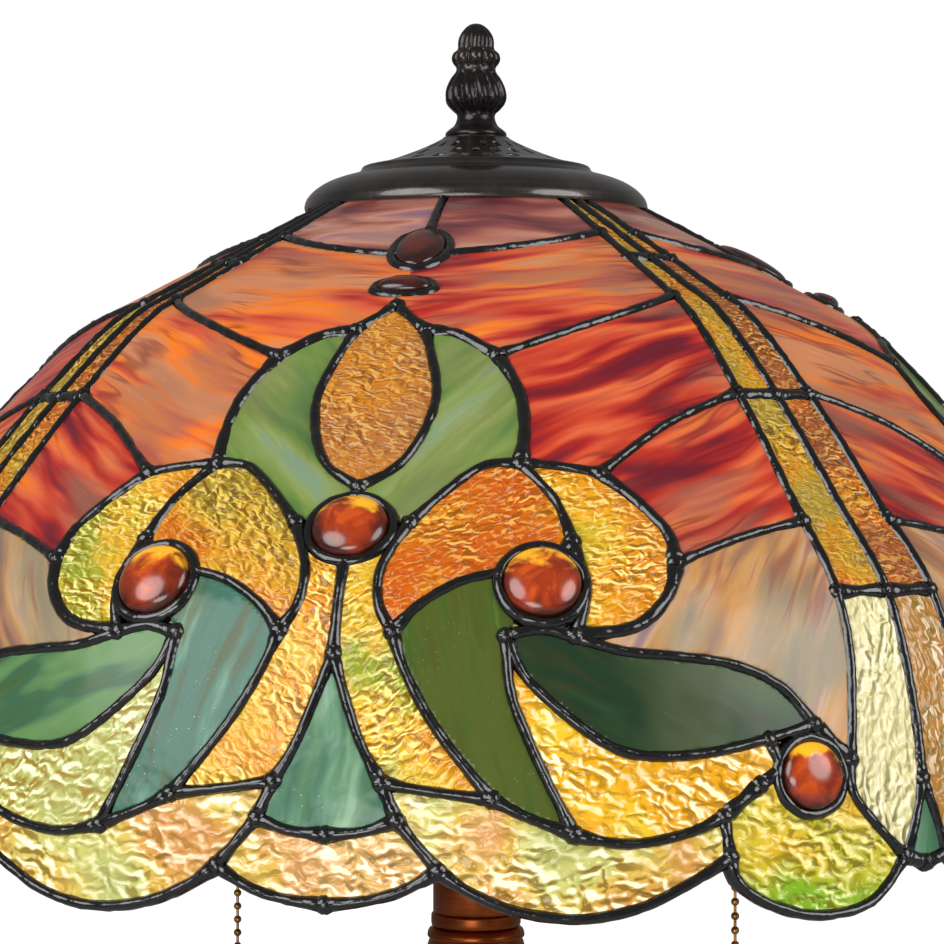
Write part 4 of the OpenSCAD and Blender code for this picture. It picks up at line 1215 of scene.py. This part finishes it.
def bare_porcelain():
    """Unglazed off-white clay."""
    f = Finish("bare_porcelain", rough=0.55)
    place = f.object_place()
    colour = f.spread(f.cloud(place, 300.0, 4.0), (0.3, "D8D2C2"), (0.7, "F0ECE0"))
    return f.finish(colour, f.bump(f.cloud(place, 2200.0, 2.0), 0.0001, 0.4))


def wool_felt():
    """Dark green fibres."""
    f = Finish("wool_felt", rough=0.95)
    place = f.object_place()
    fibres = f.cloud(f.drifted(place, 300.0, 0.01), 1600.0, 4.0, 0.7)
    colour = f.spread(fibres, (0.3, "16241A"), (0.7, "2F4434"))
    return f.finish(colour, f.bump(fibres, 0.0006, 0.8))


def grey_metal(name, dark, light, rough):
    """Two greys in patches, for steel and aluminium."""
    f = Finish(name, rough=rough, metal=0.9)
    place = f.object_place()
    patches = f.cloud(place, 160.0, 5.0, 0.6)
    colour = f.spread(f.span(patches, 0.3, 0.7), (0.0, dark), (1.0, light))
    return f.finish(colour, f.bump(f.cloud(place, 1200.0, 2.0), 0.0001, 0.3),
                    f.span(patches, 0.3, 0.7, rough - 0.08, rough + 0.1))


def black_nylon():
    """Matt black with a fine grain."""
    f = Finish("black_nylon", rough=0.6)
    grain = f.cloud(f.object_place(), 1500.0, 3.0)
    return f.finish(f.spread(grain, (0.3, "111112"), (0.7, "1E1E20")), f.bump(grain, 0.0002, 0.5))


# %% Give every part that stays its finish
by_slot = {"bronze": antique_bronze, "dark_bronze": gunmetal, "brass": plain_brass(),
           "porcelain": bare_porcelain(), "felt": wool_felt(), "bushing": black_nylon(),
           "steel": grey_metal("grey_steel", "4E4E50", "7A7A7C", 0.42),
           "bulb_metal": grey_metal("rolled_aluminium", "8C8C8A", "BCBCBA", 0.34)}
slot_of = {part["node"]: part["material_slot"] for part in frame["record"]["subparts"]}
stay = [node for node in frame["nodes"].values() if not node.hide_render]
for node in stay:
    for holder in node.material_slots:
        holder.material = by_slot[slot_of[node.name]]
print(len(stay), "measured parts stay:", sorted(node.name for node in stay))

# %% [markdown]
# ## The floor
# A wide floor catches a soft shadow. It belongs to the studio, not to the lamp. Like the wall, it
# is white to look at and darker as a light, so that the undersides of the beads stay dark.

# %% Lay the floor
def pale_floor():
    """A light grey that glows towards the eye and hardly lights the lamp."""
    f = Finish("pale_floor", rough=0.9)
    colour = f.spread(f.cloud(f.object_place(), 2.0, 2.0), (0.3, "A8A8A8"), (0.7, "B0B0B0"))
    seen = f.node("ShaderNodeLightPath").outputs["Is Camera Ray"]
    f.net.links.new(f.span(seen, 0, 1, 0.05, 2.4), f.skin.inputs["Emission Strength"])
    return f.finish(colour, None, None, colour)


floor_mesh = bpy.data.meshes.new("floor")
reach, floor_z = 6, -0.0005
square = ((-reach, -reach), (reach, -reach), (reach, reach), (-reach, reach))
floor_mesh.from_pydata([(x, y, floor_z) for x, y in square], [], [(0, 1, 2, 3)])
floor_mesh.materials.append(pale_floor())
floor = bpy.data.objects.new("floor", floor_mesh)
bpy.context.scene.collection.objects.link(floor)
